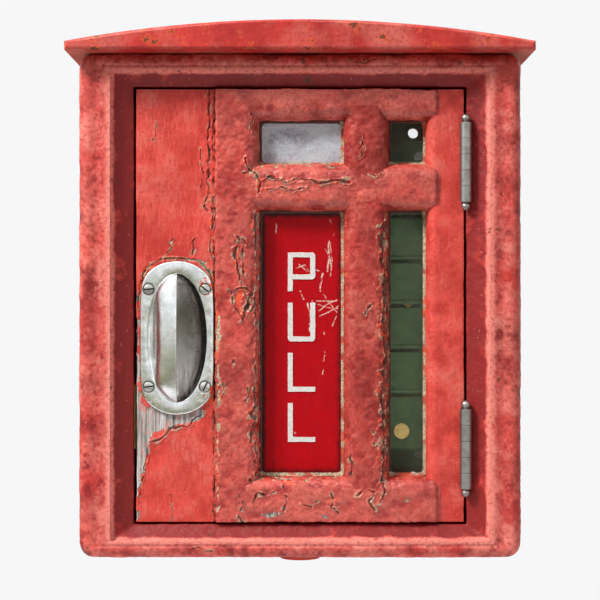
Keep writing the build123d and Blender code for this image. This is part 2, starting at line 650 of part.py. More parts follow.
def make_terminal_cover():
    """Folded steel cover over the terminals, with louvres down its front and two stud holes."""
    with BuildPart() as cover:
        block(COVER_X, COVER_Z, (PLATE_FRONT, COVER_FRONT))
        fillet(edges_along(cover, Axis.Y), 4)
        fillet(cover.faces().sort_by(Axis.Y)[0].edges(), 3)
        block(
            (COVER_X[0] + COVER_SKIN, COVER_X[1] - COVER_SKIN),
            (COVER_Z[0] + COVER_SKIN, COVER_Z[1] - COVER_SKIN),
            (PLATE_FRONT, COVER_FRONT - COVER_SKIN),
            mode=Mode.SUBTRACT,
        )
        slit_depth = (COVER_FRONT - COVER_SKIN, COVER_FRONT + 2.5)
        for z in (-74.0, -37.0, 0.0, 37.0, 74.0):
            with Locations(Location(((COVER_X[0] + COVER_X[1]) / 2, -COVER_FRONT, z + 2.2), (0, 90, 0))):
                Cylinder(2.4, 34)
            block((67, 101), (z - 2.0, z + 1.2), slit_depth, mode=Mode.SUBTRACT)
        block(
            (COVER_X[0] + 4, COVER_X[1] - 4),
            (-85, 85),
            (COVER_FRONT - COVER_SKIN - 3, COVER_FRONT - COVER_SKIN),
            mode=Mode.SUBTRACT,
        )
        rod(COVER_STUDS, (COVER_FRONT - COVER_SKIN, COVER_FRONT), 2.2, mode=Mode.SUBTRACT)
    write(cover, "terminal_cover")


def make_cover_studs():
    """Long studs that hold the terminal cover, with knurled thumb heads clear of the door's beads."""
    with BuildPart() as studs:
        rod(COVER_STUDS, (PLATE_FRONT, COVER_FRONT - COVER_SKIN), 4.0)
        rod(COVER_STUDS, (COVER_FRONT - COVER_SKIN, COVER_FRONT), 2.0)
        rod(COVER_STUDS, (COVER_FRONT, COVER_FRONT + 5), 6.5)
        for at in COVER_STUDS:
            notches = [polar(at, 6.9, 20 * step) for step in range(18)]
            rod(notches, (COVER_FRONT, COVER_FRONT + 5), 0.8, mode=Mode.SUBTRACT)
    write(studs, "cover_studs")


def make_terminal_block():
    """Moulded block for the line terminals, with a rib between each pair."""
    with BuildPart() as body:
        block((65, 103), (-60, 30), (PLATE_FRONT, 45))
        fillet(edges_along(body, Axis.Y), 3)
        for z in (-41.25, -23.75, -6.25, 11.25):
            block((65, 103), (z - 1, z + 1), (45, 50))
        rod(TERMINALS, (39, 45), 2.0, mode=Mode.SUBTRACT)
    write(body, "terminal_block")


def make_line_fuses():
    """Two porcelain fuses that stand upright in their clips."""
    with BuildPart() as fuses:
        with Locations(*[(x, -FUSE_DEPTH, FUSE_Z[0]) for x in FUSES_X]):
            Cylinder(FUSE_R, FUSE_Z[1] - FUSE_Z[0], align=(Align.CENTER, Align.CENTER, Align.MIN))
    write(fuses, "line_fuses")


def make_terminal_brass():
    """The brass on the terminal board: its screws, and the clips that grip the fuses near their ends."""
    with BuildPart() as clips:
        cheese_heads(TERMINALS, 45, 2.6, 40, 4.0, 1.9)
        for x in FUSES_X:
            for z in (FUSE_Z[0] + 3, FUSE_Z[1] - 9):
                block((x - 7, x + 7), (z, z + 6), (PLATE_FRONT, FUSE_DEPTH + 3))
            with Locations((x, -FUSE_DEPTH, FUSE_Z[0])):
                Cylinder(
                    FUSE_R,
                    FUSE_Z[1] - FUSE_Z[0],
                    align=(Align.CENTER, Align.CENTER, Align.MIN),
                    mode=Mode.SUBTRACT,
                )
    write(clips, "terminal_brass")


def make_lamp():
    """The lamp behind the opal pane: its holder with a flange, and the bulb."""
    with BuildPart() as holder:
        rod(LAMP_AT, (PLATE_FRONT, PLATE_FRONT + 3), 13.5)
        rod(LAMP_AT, (PLATE_FRONT + 3, 52), 10.0)
        rod(LAMP_AT, (40, 52), 6.6, mode=Mode.SUBTRACT)
    write(holder, "lamp_holder")
    with BuildPart() as bulb:
        rod(LAMP_AT, (40, 58), 6.5)
        with Locations((LAMP_AT[0], -68, LAMP_AT[1])):
            Sphere(12.0)
    write(bulb, "lamp_bulb")


# --- gong and hammer ----------------------------------------------------------------------
GONG_AT, GONG_R, GONG_RIM, GONG_TOP = (-72.0, -86.0), 30.0, 44.0, 62.0
HAMMER_PIVOT, HAMMER_HEAD, HAMMER_HEAD_R = (-26.0, -52.0), (-33.5, -86.0), 4.5


def make_gong():
    """Bell-metal dome, open to the back, with a flat top for its screw."""
    side = Plane(origin=(GONG_AT[0], 0, GONG_AT[1]), x_dir=(1, 0, 0), z_dir=(0, 0, 1))
    with BuildPart() as gong:
        with BuildSketch(side):
            with BuildLine():
                Line((2.6, -GONG_TOP), (6, -GONG_TOP))
                ThreePointArc((6, -GONG_TOP), (23.0, -56.5), (GONG_R, -GONG_RIM))
                Line((GONG_R, -GONG_RIM), (GONG_R - 2, -GONG_RIM))
                ThreePointArc((GONG_R - 2, -GONG_RIM), (21.5, -55.0), (6, 2 - GONG_TOP))
                Polyline((6, 2 - GONG_TOP), (2.6, 2 - GONG_TOP), (2.6, -GONG_TOP))
            make_face()
        revolve(axis=Axis((GONG_AT[0], 0, GONG_AT[1]), (0, 1, 0)))
    write(gong, "gong")


def make_hammer():
    """Bell hammer: a hub and arm that turn on a post of the plate, and the striking head."""
    with BuildPart() as arm:
        rod(HAMMER_PIVOT, (46.5, 53), 5.0)
        run = (HAMMER_HEAD[0] - HAMMER_PIVOT[0], HAMMER_HEAD[1] - HAMMER_PIVOT[1])
        middle = ((HAMMER_HEAD[0] + HAMMER_PIVOT[0]) / 2, (HAMMER_HEAD[1] + HAMMER_PIVOT[1]) / 2)
        with BuildSketch(Plane.XZ.offset(48.5)):
            with Locations(middle):
                Rectangle(math.hypot(*run), 3.0, rotation=math.degrees(math.atan2(run[1], run[0])))
        extrude(amount=2.4)
        rod(HAMMER_PIVOT, (46.5, 53), 2.0 + SHAFT_FIT, mode=Mode.SUBTRACT)
        rod(HAMMER_HEAD, (44.5, 54.5), HAMMER_HEAD_R)
    write(arm, "bell_hammer")


# --- clockwork ----------------------------------------------------------------------------
PILLARS = [(x, z) for x in (TRAIN_X[0] + 5, TRAIN_X[1] - 5) for z in (TRAIN_Z[0] + 5, TRAIN_Z[1] - 5)]
SECOND_ARBOR_R, FLY_ARBOR_R = 1.5, 1.2
CODE_R, CODE_TOOTH, CODE_DEPTH = 18.0, 4.0, (72.0, 75.0)
CODE_GROUPS = (3, 1, 2)
LEVER_PIVOT = (-14.0, 51.0)
LEVER_NOSE_LOW = MAIN_AT[1] + CODE_R + CODE_TOOTH + 0.4


def make_train_plates():
    """The clockwork's two brass plates and the pillars between them."""
    for label, span, feet in (
        ("movement_back_plate", BACK_PLATE, (PLATE_FRONT, BACK_PLATE[0])),
        ("movement_front_plate", FRONT_PLATE, None),
    ):
        with BuildPart() as plate:
            block(TRAIN_X, TRAIN_Z, span)
            fillet(edges_along(plate, Axis.Y), 6)
            if feet:
                rod(PILLARS, feet, 5.0)
            with BuildSketch(Plane.XZ.offset(span[0])):
                with Locations((-72, 74)):
                    RectangleRounded(14, 34, 4)
                with Locations((-9, 10)):
                    RectangleRounded(12, 26, 4)
            extrude(amount=span[1] - span[0], mode=Mode.SUBTRACT)
            rod(MAIN_AT, span, 2.5 + SHAFT_FIT, mode=Mode.SUBTRACT)
            rod(SECOND_AT, span, SECOND_ARBOR_R + SHAFT_FIT, mode=Mode.SUBTRACT)
            rod(FLY_AT, span, FLY_ARBOR_R + SHAFT_FIT, mode=Mode.SUBTRACT)
            if not feet:
                rod(PILLARS, span, 1.6, mode=Mode.SUBTRACT)
        write(plate, label)
    with BuildPart() as pillars:
        rod(PILLARS, (BACK_PLATE[1], FRONT_PLATE[0]), 3.5)
        rod(PILLARS, (BACK_PLATE[1] + 6, FRONT_PLATE[0] - 6), 3.5, mode=Mode.SUBTRACT)
        rod(PILLARS, (BACK_PLATE[1] + 6, FRONT_PLATE[0] - 6), 2.6)
        rod(PILLARS, (FRONT_PLATE[0] - 8, FRONT_PLATE[0]), 1.6, mode=Mode.SUBTRACT)
    write(pillars, "movement_pillars")


def make_main_train():
    """The slow arbor: its shaft with a winding square, the spring drum with its gear, and the code wheel."""
    with BuildPart() as arbor:
        rod(MAIN_AT, (34.5, 78), 2.5)
        with BuildSketch(Plane.XZ.offset(78)):
            with Locations(MAIN_AT):
                Rectangle(3.4, 3.4)
        extrude(amount=9)
    write(arbor, "main_arbor")
    with BuildPart() as wheel:
        gear(MAIN_AT, (43, 46), MAIN_TEETH, 0)
        rod(MAIN_AT, (46, 56), 24.0)
        fillet(wheel.faces().sort_by(Axis.Y)[0].edges(), 1.0)
        spokes = [polar(MAIN_AT, 15.5, 60 * step) for step in range(6)]
        rod(spokes, (55, 56), 2.2, mode=Mode.SUBTRACT)
        rod(MAIN_AT, (43, 56), 2.5, mode=Mode.SUBTRACT)
    write(wheel, "spring_drum_wheel")
    with BuildPart() as code:
        rod(MAIN_AT, CODE_DEPTH, CODE_R)
        angle = 90.0
        for group in CODE_GROUPS:
            for _ in range(group):
                with BuildSketch(Plane.XZ.offset(CODE_DEPTH[0])):
                    with Locations(polar(MAIN_AT, CODE_R + CODE_TOOTH / 2 - 1, angle)):
                        Rectangle(CODE_TOOTH + 1.6, 5.0, rotation=angle)
                extrude(amount=CODE_DEPTH[1] - CODE_DEPTH[0])
                angle -= 30.0
            angle -= 30.0
        with BuildSketch(Plane.XZ.offset(CODE_DEPTH[0])):
            with Locations(MAIN_AT):
                with PolarLocations(10.5, 5):
                    Circle(3.6)
        extrude(amount=CODE_DEPTH[1] - CODE_DEPTH[0], mode=Mode.SUBTRACT)
        rod(MAIN_AT, CODE_DEPTH, 2.5, mode=Mode.SUBTRACT)
    write(code, "code_wheel")


def crossed_out(at, span, rim, hub):
    """Cuts four openings in a wheel, leaving spokes, in the open BuildPart."""
    with BuildSketch(Plane.XZ.offset(span[0])) as windows:
        with Locations(at):
            Circle(rim)
            Circle(hub, mode=Mode.SUBTRACT)
            Rectangle(2 * rim + 2, 3.4, mode=Mode.SUBTRACT)
            Rectangle(3.4, 2 * rim + 2, mode=Mode.SUBTRACT)
    extrude(windows.sketch, amount=span[1] - span[0], mode=Mode.SUBTRACT)


def make_second_train():
    """The middle arbor with its pinion, and the crossed-out wheel on it."""
    with BuildPart() as arbor:
        gear(SECOND_AT, (42, 47), SECOND_PINION_TEETH, SECOND_ANGLE + 180 + 180 / SECOND_PINION_TEETH)
        rod(SECOND_AT, (36.5, 69.5), SECOND_ARBOR_R)
        rod(SECOND_AT, (47, 59), 3.0)
    write(arbor, "second_arbor")
    with BuildPart() as wheel:
        gear(SECOND_AT, (59, 61), SECOND_TEETH, FLY_ANGLE)
        crossed_out(SECOND_AT, (59, 61), 20.5, 6.0)
        rod(SECOND_AT, (59, 61), SECOND_ARBOR_R, mode=Mode.SUBTRACT)
    write(wheel, "second_wheel")


def make_fly():
    """The fast arbor with its pinion, and the air vane that governs the speed."""
    with BuildPart() as arbor:
        gear(FLY_AT, (58, 62), FLY_PINION_TEETH, FLY_ANGLE + 180 + 180 / FLY_PINION_TEETH)
        rod(FLY_AT, (36.5, 69.5), FLY_ARBOR_R)
    write(arbor, "fly_arbor")
    with BuildPart() as vane:
        rod(FLY_AT, (43, 55), 3.0)
        block((FLY_AT[0] - 14, FLY_AT[0] + 14), (FLY_AT[1] - 0.4, FLY_AT[1] + 0.4), (43, 55))
        rod(FLY_AT, (43, 55), FLY_ARBOR_R, mode=Mode.SUBTRACT)
    write(vane, "fly_vane")


def make_contacts():
    """The lever that rides the code wheel, and the contact springs on their block."""
    with BuildPart() as lever:
        rod(LEVER_PIVOT, (71.5, 75.5), 4.0)
        block((MAIN_AT[0] - 2, LEVER_PIVOT[0]), (LEVER_PIVOT[1] - 1.6, LEVER_PIVOT[1] + 1.6), (72, 75))
        block((MAIN_AT[0] - 2, MAIN_AT[0] + 2), (LEVER_NOSE_LOW + 1.5, LEVER_PIVOT[1]), (72, 75))
        with Locations(Location((MAIN_AT[0], -72, LEVER_NOSE_LOW + 2.0), (90, 0, 0))):
            Cylinder(2.0, 3, align=(Align.CENTER, Align.CENTER, Align.MIN))
        rod(LEVER_PIVOT, (71.5, 75.5), 1.8 + SHAFT_FIT, mode=Mode.SUBTRACT)
    write(lever, "contact_lever")
    with BuildPart() as support:
        block((-8, 0), (60, 76), (FRONT_PLATE[1], 80))
        for z in (64.0, 71.0):
            block((-8, 0), (z - 0.3, z + 0.3), (71, 78), mode=Mode.SUBTRACT)
    write(support, "contact_block")
    with BuildPart() as springs:
        for z, reach in ((64.0, -46.0), (71.0, -40.0)):
            block((reach, -0.5), (z - 0.3, z + 0.3), (71, 78))
            block((reach, reach + 4), (z + 0.3, z + 1.3) if z < 65 else (z - 1.3, z - 0.3), (72, 77))
    write(springs, "contact_springs")


# --- alarm hook ---------------------------------------------------------------------------
HOOK_X, HOOK_Z, HOOK_TRAVEL = 27.0, -82.0, 28.0
GUIDE_X, GUIDE_Z, GUIDE_DEPTH = (8.0, 46.0), (-128.0, -36.0), (52.0, 55.0)
GUIDE_CORNERS = [(x, z) for x in (GUIDE_X[0] + 5, GUIDE_X[1] - 5) for z in (GUIDE_Z[0] + 5, GUIDE_Z[1] - 5)]
SPRING_TOP = -44.0


def make_hook_guide():
    """Slotted guide plate in front of the hook's slider."""
    with BuildPart() as guide:
        block(GUIDE_X, GUIDE_Z, GUIDE_DEPTH)
        fillet(edges_along(guide, Axis.Y), 5)
        with BuildSketch(Plane.XZ.offset(GUIDE_DEPTH[0])):
            with Locations((HOOK_X, HOOK_Z - HOOK_TRAVEL / 2)):
                SlotOverall(HOOK_TRAVEL + 8, 7, rotation=90)
        extrude(amount=GUIDE_DEPTH[1] - GUIDE_DEPTH[0], mode=Mode.SUBTRACT)
        rod(GUIDE_CORNERS, GUIDE_DEPTH, 1.8, mode=Mode.SUBTRACT)
    write(guide, "hook_guide")


def make_posts():
    """The turned posts: for the gong, the hammer, the contact lever, the hook's guide and its spring."""
    with BuildPart() as posts:
        rod(GONG_AT, (PLATE_FRONT, GONG_TOP - 2), 5.0)
        rod(GONG_AT, (50, GONG_TOP - 2), 2.6, mode=Mode.SUBTRACT)
        rod(HAMMER_PIVOT, (PLATE_FRONT, 56), 2.0)
        rod(HAMMER_PIVOT, (PLATE_FRONT, 46), 4.0)
        rod(LEVER_PIVOT, (FRONT_PLATE[1], 78), 1.8)
        rod(GUIDE_CORNERS, (PLATE_FRONT, GUIDE_DEPTH[0]), 4.0)
        rod(GUIDE_CORNERS, (44, GUIDE_DEPTH[0]), 1.8, mode=Mode.SUBTRACT)
        rod((HOOK_X, SPRING_TOP + 2), (PLATE_FRONT, 49), 2.0)
    write(posts, "posts")


def make_movement_screws():
    """The brass screws of the clockwork's front plate, the hook's guide and the gong."""
    with BuildPart() as group:
        cheese_heads(PILLARS, FRONT_PLATE[1], 2.2, FRONT_PLATE[0] - 7, 3.4, 1.55)
        cheese_heads(GUIDE_CORNERS, GUIDE_DEPTH[1], 2.4, 45, 3.6, 1.75)
        cheese_heads([GONG_AT], GONG_TOP, 3.5, 51, 5.0, 2.5)
    write(group, "movement_screws")


def make_plate_screws():
    """The steel screws that hold the instrument plate."""
    with BuildPart() as group:
        cheese_heads(STANDOFFS, PLATE_FRONT, 3.0, 19, 5.0, 2.5)
    write(group, "plate_screws")


def make_pull_hook():
    """The slider behind the guide with its stem, and the cross handle on the stem."""
    with BuildPart() as slider:
        block((HOOK_X - 7, HOOK_X + 7), (HOOK_Z - 8, HOOK_Z + 8), (38, 50.5))
        fillet(edges_along(slider, Axis.Y), 2)
        rod((HOOK_X, HOOK_Z), (50.5, 84), 3.0)
    write(slider, "hook_slider")
    with BuildPart() as handle:
        with Locations(Location((HOOK_X, -79, HOOK_Z), (0, 90, 0))):
            Cylinder(5.0, 40)
        fillet(handle.faces().filter_by(Axis.X).edges(), 3.0)
        rod((HOOK_X, HOOK_Z), (70, 75), 6.0)
        rod((HOOK_X, HOOK_Z), (70, 84), 3.0, mode=Mode.SUBTRACT)
    write(handle, "hook_handle")


def make_hook_spring():
    """Return spring between the hook's slider and its post, wound on an upright axis."""
    low, radius, wire, turns = HOOK_Z + 8.6, 4.0, 0.5, 9
    height = SPRING_TOP - 1.2 - low
    with BuildPart() as spring:
        with BuildLine() as coil:
            Helix(pitch=height / turns, height=height, radius=radius, center=(HOOK_X, -44, low))
        with BuildSketch(Plane(origin=coil.line @ 0, z_dir=coil.line % 0)):
            Circle(wire)
        sweep(is_frenet=True)
    write(spring, "hook_spring")


def make_door_switch():
    """Tube on the instrument plate, and the plunger in it that the closed door pushes back."""
    with BuildPart() as body:
        rod(SWITCH_AT, (PLATE_FRONT, 36), 10.0)
        rod(SWITCH_AT, (36, 92), SWITCH_R)
        rod(SWITCH_AT, (56, 92), PLUNGER_R + SHAFT_FIT, mode=Mode.SUBTRACT)
    write(body, "switch_body")
    with BuildPart() as plunger:
        rod(SWITCH_AT, (60, 102.6), PLUNGER_R)
        fillet(plunger.faces().sort_by(Axis.Y)[0].edges(), 1.4)
    write(plunger, "switch_plunger")


def main():
    """Makes every sub-part and writes its file."""
    make_back_box()
    make_front_frame()
    make_frame_screws()
    make_hood()
    make_hood_bolts()
    make_door_gasket()
    make_catch_spring()
    make_hinge_leaves("hinge_leaves_case", 1, (0, 2, 4))
    make_hinge_leaves("hinge_leaves_door", -1, (1, 3))
    make_hinge_screws("hinge_screws_case", 1)
    make_hinge_screws("hinge_screws_door", -1)
    make_hinge_pins()

    make_lock_stile()
    left_bar = make_left_bar()
    hinge_stile = make_hinge_stile()
    rails = [
        make_rail("bottom_rail", BOTTOM_RAIL, BOTTOM_RAIL[1:], left_bar, hinge_stile),
        make_rail("cross_rail", CROSS_RAIL, CROSS_RAIL, left_bar, hinge_stile),
        make_rail("top_rail", TOP_RAIL, TOP_RAIL[:1], left_bar, hinge_stile),
    ]
    make_middle_bar(rails)
    pane("pull_plate", "pull_plate", PANE_FRONT - PLATE_THICK, PANE_FRONT, 4.0)
    pane("opal_pane", "opal_pane", PANE_BACK, PANE_FRONT)
    make_window_panes()
    make_glazing_beads()
    make_pull_letters()
    make_flush_pull()
    make_finger_cup()
    make_pull_screws()

    make_instrument_plate()
    make_standoffs()
    make_plate_screws()
    make_posts()
    make_terminal_cover()
    make_cover_studs()
    make_terminal_block()
    make_terminal_brass()
    make_line_fuses()
    make_lamp()
    make_gong()
    make_hammer()
    make_train_plates()
    make_movement_screws()
    make_main_train()
    make_second_train()
    make_fly()
    make_contacts()
    make_hook_guide()
    make_pull_hook()
    make_hook_spring()
    make_door_switch()


main()
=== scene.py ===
"""Looks for a street fire alarm box: red paint on timber and iron, a worn steel pull, a brass clockwork.

Lengths inside the classes are millimetres in the part's frame: x to the right, z up, and depth out from the
wall. Depth is minus Y. Meshes are turned into metres only where they are handed to Blender.
"""

from __future__ import annotations

import json
import logging
import math
from dataclasses import dataclass
from enum import Enum
from typing import Callable, Sequence

import bpy
import numpy as np
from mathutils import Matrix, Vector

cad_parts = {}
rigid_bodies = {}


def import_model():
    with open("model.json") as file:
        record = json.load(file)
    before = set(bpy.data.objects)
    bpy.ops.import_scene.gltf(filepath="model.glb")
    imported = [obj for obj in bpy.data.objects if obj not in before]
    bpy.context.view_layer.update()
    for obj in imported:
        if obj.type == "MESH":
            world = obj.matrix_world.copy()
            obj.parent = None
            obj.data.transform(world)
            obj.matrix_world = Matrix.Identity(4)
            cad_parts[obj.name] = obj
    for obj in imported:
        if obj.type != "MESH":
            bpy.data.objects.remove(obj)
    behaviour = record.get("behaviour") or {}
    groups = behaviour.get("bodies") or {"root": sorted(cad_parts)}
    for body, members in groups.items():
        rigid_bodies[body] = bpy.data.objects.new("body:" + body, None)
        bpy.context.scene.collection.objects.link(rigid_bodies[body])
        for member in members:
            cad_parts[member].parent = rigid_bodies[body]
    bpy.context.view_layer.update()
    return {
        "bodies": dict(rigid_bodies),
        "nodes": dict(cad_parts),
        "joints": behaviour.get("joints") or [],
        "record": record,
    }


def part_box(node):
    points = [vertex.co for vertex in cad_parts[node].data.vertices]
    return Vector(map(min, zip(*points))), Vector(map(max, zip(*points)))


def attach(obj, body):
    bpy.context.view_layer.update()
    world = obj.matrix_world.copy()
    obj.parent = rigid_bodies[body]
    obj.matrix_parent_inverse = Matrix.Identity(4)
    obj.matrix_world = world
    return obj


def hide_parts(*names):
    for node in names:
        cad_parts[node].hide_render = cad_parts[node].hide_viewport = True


LOG = logging.getLogger("alarm_box")
MM = 0.001
MM_PER_M = 1000.0
SILL_DEPTH = 125.0
PULL_CENTRE = (-99.0, -26.0)
PULL_HALF = (29.5, 62.0)
Array = np.ndarray
Colour = tuple[float, float, float]
Point = tuple[float, float]
Socket = bpy.types.NodeSocket
Source = Socket | float | Colour | None
Bend = Callable[[Array, Array, Array], tuple[Array, Array, Array]]


# --- noise and blending ---------------------------------------------------------------------
def ease(value: Array, low: float, high: float) -> Array:
    """A smooth step: 0 below low, 1 above high, and 3t^2 - 2t^3 between them."""
    t = np.clip((value - low) / (high - low), 0.0, 1.0)
    return t * t * (3.0 - 2.0 * t)


def corner_values(cells: Array, seed: int) -> Array:
    """A repeatable value from -1 to 1 for each whole-number cell.

    Args:
        cells: Whole numbers, (n, 3).
        seed: Which of many patterns.

    Returns:
        One value for each cell, from the bits of a mixed integer hash.
    """
    c = cells.astype(np.int64).astype(np.uint64)
    mixed = c[:, 0] * np.uint64(73856093) ^ c[:, 1] * np.uint64(19349663) ^ c[:, 2] * np.uint64(83492791)
    mixed = (mixed + np.uint64(seed * 2654435761)) & np.uint64(0xFFFFFFFF)
    for shift, factor in ((16, 0x7FEB352D), (15, 0x846CA68B)):
        mixed ^= mixed >> np.uint64(shift)
        mixed = (mixed * np.uint64(factor)) & np.uint64(0xFFFFFFFF)
    mixed ^= mixed >> np.uint64(16)
    return mixed.astype(np.float64) / 2147483647.5 - 1.0


def lattice_noise(points: Array, seed: int) -> Array:
    """Value noise: the eight values at a point's cell corners, blended with 6t^5 - 15t^4 + 10t^3.

    Args:
        points: Places in cell units, (n, 3).
        seed: Which pattern.

    Returns:
        Noise from -1 to 1, (n,).
    """
    cell = np.floor(points)
    t = points - cell
    blend = t * t * t * (t * (t * 6.0 - 15.0) + 10.0)
    total = np.zeros(len(points))
    for corner in np.ndindex(2, 2, 2):
        step = np.array(corner)
        weight = np.prod(np.where(step == 1, blend, 1.0 - blend), axis=1)
        total += weight * corner_values(cell + step, seed)
    return total


def cloud(points: Array, size: float | Sequence[float], octaves: int, seed: int) -> Array:
    """Fractal noise: octaves of lattice noise, each half the size and half the strength of the last.

    Args:
        points: Places in millimetres, (n, 3).
        size: The coarsest grain in millimetres, one value or one for each axis.
        octaves: How many layers.
        seed: Which pattern.

    Returns:
        Noise of about -1 to 1, (n,).
    """
    scaled = points / np.asarray(size, float)
    layers = [lattice_noise(scaled * 2.0**k + 17.3 * k, seed + k) * 0.5**k for k in range(octaves)]
    return np.sum(layers, axis=0) / (2.0 - 0.5 ** (octaves - 1)) * 1.6


def distance_to_path(x: Array, z: Array, path: Sequence[Point]) -> Array:
    """How far each point is from a path of straight runs, as the least distance to any run."""
    nearest = np.full(x.shape, 1e9)
    for (x0, z0), (x1, z1) in zip(path, path[1:]):
        run_x, run_z = x1 - x0, z1 - z0
        along = np.clip(((x - x0) * run_x + (z - z0) * run_z) / (run_x**2 + run_z**2), 0.0, 1.0)
        nearest = np.minimum(nearest, np.hypot(x - x0 - along * run_x, z - z0 - along * run_z))
    return nearest


# --- meshes ---------------------------------------------------------------------------------
def quads_of_grid(rows: int, columns: int, close_rows: bool, close_columns: bool) -> Array:
    """Corner numbers of a grid's quads, row by row, wrapping round where it is closed."""
    r = np.arange(rows if close_rows else rows - 1)
    c = np.arange(columns if close_columns else columns - 1)
    r, c = np.meshgrid(r, c, indexing="ij")
    r1, c1 = (r + 1) % rows, (c + 1) % columns
    corners = [r * columns + c, r * columns + c1, r1 * columns + c1, r1 * columns + c]
    return np.stack(corners, -1).reshape(-1, 4)


def rim_of_grid(rows: int, columns: int) -> Array:
    """Point numbers once round a grid's outer edge, from its first point along its first row."""
    across, up = np.arange(columns - 1), np.arange(rows - 1) * columns
    last = rows * columns - 1
    return np.concatenate([across, up + columns - 1, last - across, last - columns + 1 - up])


def new_mesh(
    name: str, points: Array, quads: Array, caps: Sequence[Array] = (), smooth: float = 40.0
) -> bpy.types.Object:
    """Makes an object from points in metres, quads and end caps.

    Args:
        name: The piece's name.
        points: Corner places in metres, (n, 3).
        quads: Corner numbers, (m, 4).
        caps: End faces of any number of corners.
        smooth: Edges sharper than this angle, in degrees, stay crisp.

    Returns:
        The new object, linked to the scene.
    """
    mesh = bpy.data.meshes.new(name)
    corners = np.concatenate([quads.reshape(-1), *[np.asarray(c) for c in caps]]).astype(np.int32)
    sizes = np.concatenate([np.full(len(quads), 4), [len(c) for c in caps]]).astype(np.int32)
    mesh.vertices.add(len(points))
    mesh.vertices.foreach_set("co", np.ascontiguousarray(points, np.float32).reshape(-1))
    mesh.loops.add(len(corners))
    mesh.loops.foreach_set("vertex_index", corners)
    mesh.polygons.add(len(sizes))
    mesh.polygons.foreach_set("loop_start", np.concatenate([[0], np.cumsum(sizes)[:-1]]).astype(np.int32))
    mesh.polygons.foreach_set("use_smooth", np.ones(len(sizes), bool))
    mesh.update(calc_edges=True)
    mesh.validate()
    mesh.set_sharp_from_angle(angle=math.radians(smooth))
    piece = bpy.data.objects.new(name, mesh)
    bpy.context.scene.collection.objects.link(piece)
    return piece


def to_metres(x: Array, depth: Array, z: Array) -> Array:
    """Places in metres from x, depth and height in millimetres."""
    return np.stack([x, -depth, z], -1).reshape(-1, 3) * MM


def paint_attribute(piece: bpy.types.Object, name: str, values: Array) -> None:
    """Stores one value for each point of a piece, for its material to read."""
    layer = piece.data.attributes.new(name, "FLOAT", "POINT")
    layer.data.foreach_set("value", np.ascontiguousarray(values, np.float32).reshape(-1))


@dataclass(frozen=True)
class Section:
    """A closed outline of (across, depth) corners, each with a radius, that is carried along a length."""

    corners: tuple[Point, ...]
    radii: tuple[float, ...]
    fine_from: float = 122.0
    fine: float = 0.8
    coarse: float = 6.0

    def points(self) -> tuple[Array, Array]:
        """Works the outline out: each corner is an arc tangent to its two sides, and sides are split evenly.

        Returns:
            The outline's points, (n, 2), and its outward normals, (n, 2).
        """
        corners = np.array(self.corners, float)
        path: list[Array] = []
        for before, corner, after, radius in zip(
            np.roll(corners, 1, 0), corners, np.roll(corners, -1, 0), self.radii
        ):
            if radius <= 0:
                path.append(corner[None])
                continue
            a = (before - corner) / np.linalg.norm(before - corner)
            b = (after - corner) / np.linalg.norm(after - corner)
            half = math.acos(float(np.clip(a @ b, -1, 1))) / 2
            centre = corner + (a + b) / np.linalg.norm(a + b) * radius / math.sin(half)
            start = corner + a * radius / math.tan(half) - centre
            turn = math.pi - 2 * half
            side = np.sign(start[0] * (b - a)[1] - start[1] * (b - a)[0])
            steps = np.linspace(0, turn, max(3, int(radius * turn / self.fine) + 1))[:, None] * side
            spun = np.stack([-start[1], start[0]])
            path.append(centre + np.cos(steps) * start + np.sin(steps) * spun)
        loose = np.concatenate(path)
        ends = np.roll(loose, -1, 0)
        runs = []
        for start, end in zip(loose, ends):
            pitch = self.fine if max(start[1], end[1]) > self.fine_from else self.coarse
            count = max(1, math.ceil(np.linalg.norm(end - start) / pitch - 1e-6))
            runs.append(start + (end - start) * (np.arange(count) / count)[:, None])
        outline = np.concatenate(runs)
        tangent = np.roll(outline, -1, 0) - np.roll(outline, 1, 0)
        tangent /= np.maximum(np.linalg.norm(tangent, axis=1, keepdims=True), 1e-9)
        return outline, np.stack([-tangent[:, 1], tangent[:, 0]], -1)


# --- old paint ------------------------------------------------------------------------------
class Shows(Enum):
    """What shows where the top coat has come off."""

    UNDERCOAT = "under"
    TIMBER = "bare"
    CREAM = "cream"


@dataclass(frozen=True)
class Flake:
    """A place where paint has come away: its middle, its reach each way, and how surely it has gone."""

    x: float
    z: float
    reach_x: float
    reach_z: float
    loss: float
    shows: Shows = Shows.UNDERCOAT

    def bias(self, x: Array, z: Array) -> Array:
        """A bell curve about the flake's middle."""
        return self.loss * np.exp(-(((x - self.x) / self.reach_x) ** 2) - ((z - self.z) / self.reach_z) ** 2)


@dataclass(frozen=True)
class Seam:
    """Chips along a path of (x, z) points, with their reach to each side and how surely they have gone."""

    path: tuple[Point, ...]
    reach: float
    loss: float
    shows: Shows = Shows.UNDERCOAT

    def bias(self, x: Array, z: Array) -> Array:
        """A bell curve of the distance to the path."""
        return self.loss * np.exp(-((distance_to_path(x, z, self.path) / self.reach) ** 2))


@dataclass(frozen=True)
class Crack:
    """A crack in the paint along a path of (x, z) points, with its half width and how deep it goes."""

    path: tuple[Point, ...]
    width: float = 0.5
    depth: float = 0.6
    lip: float = 0.25


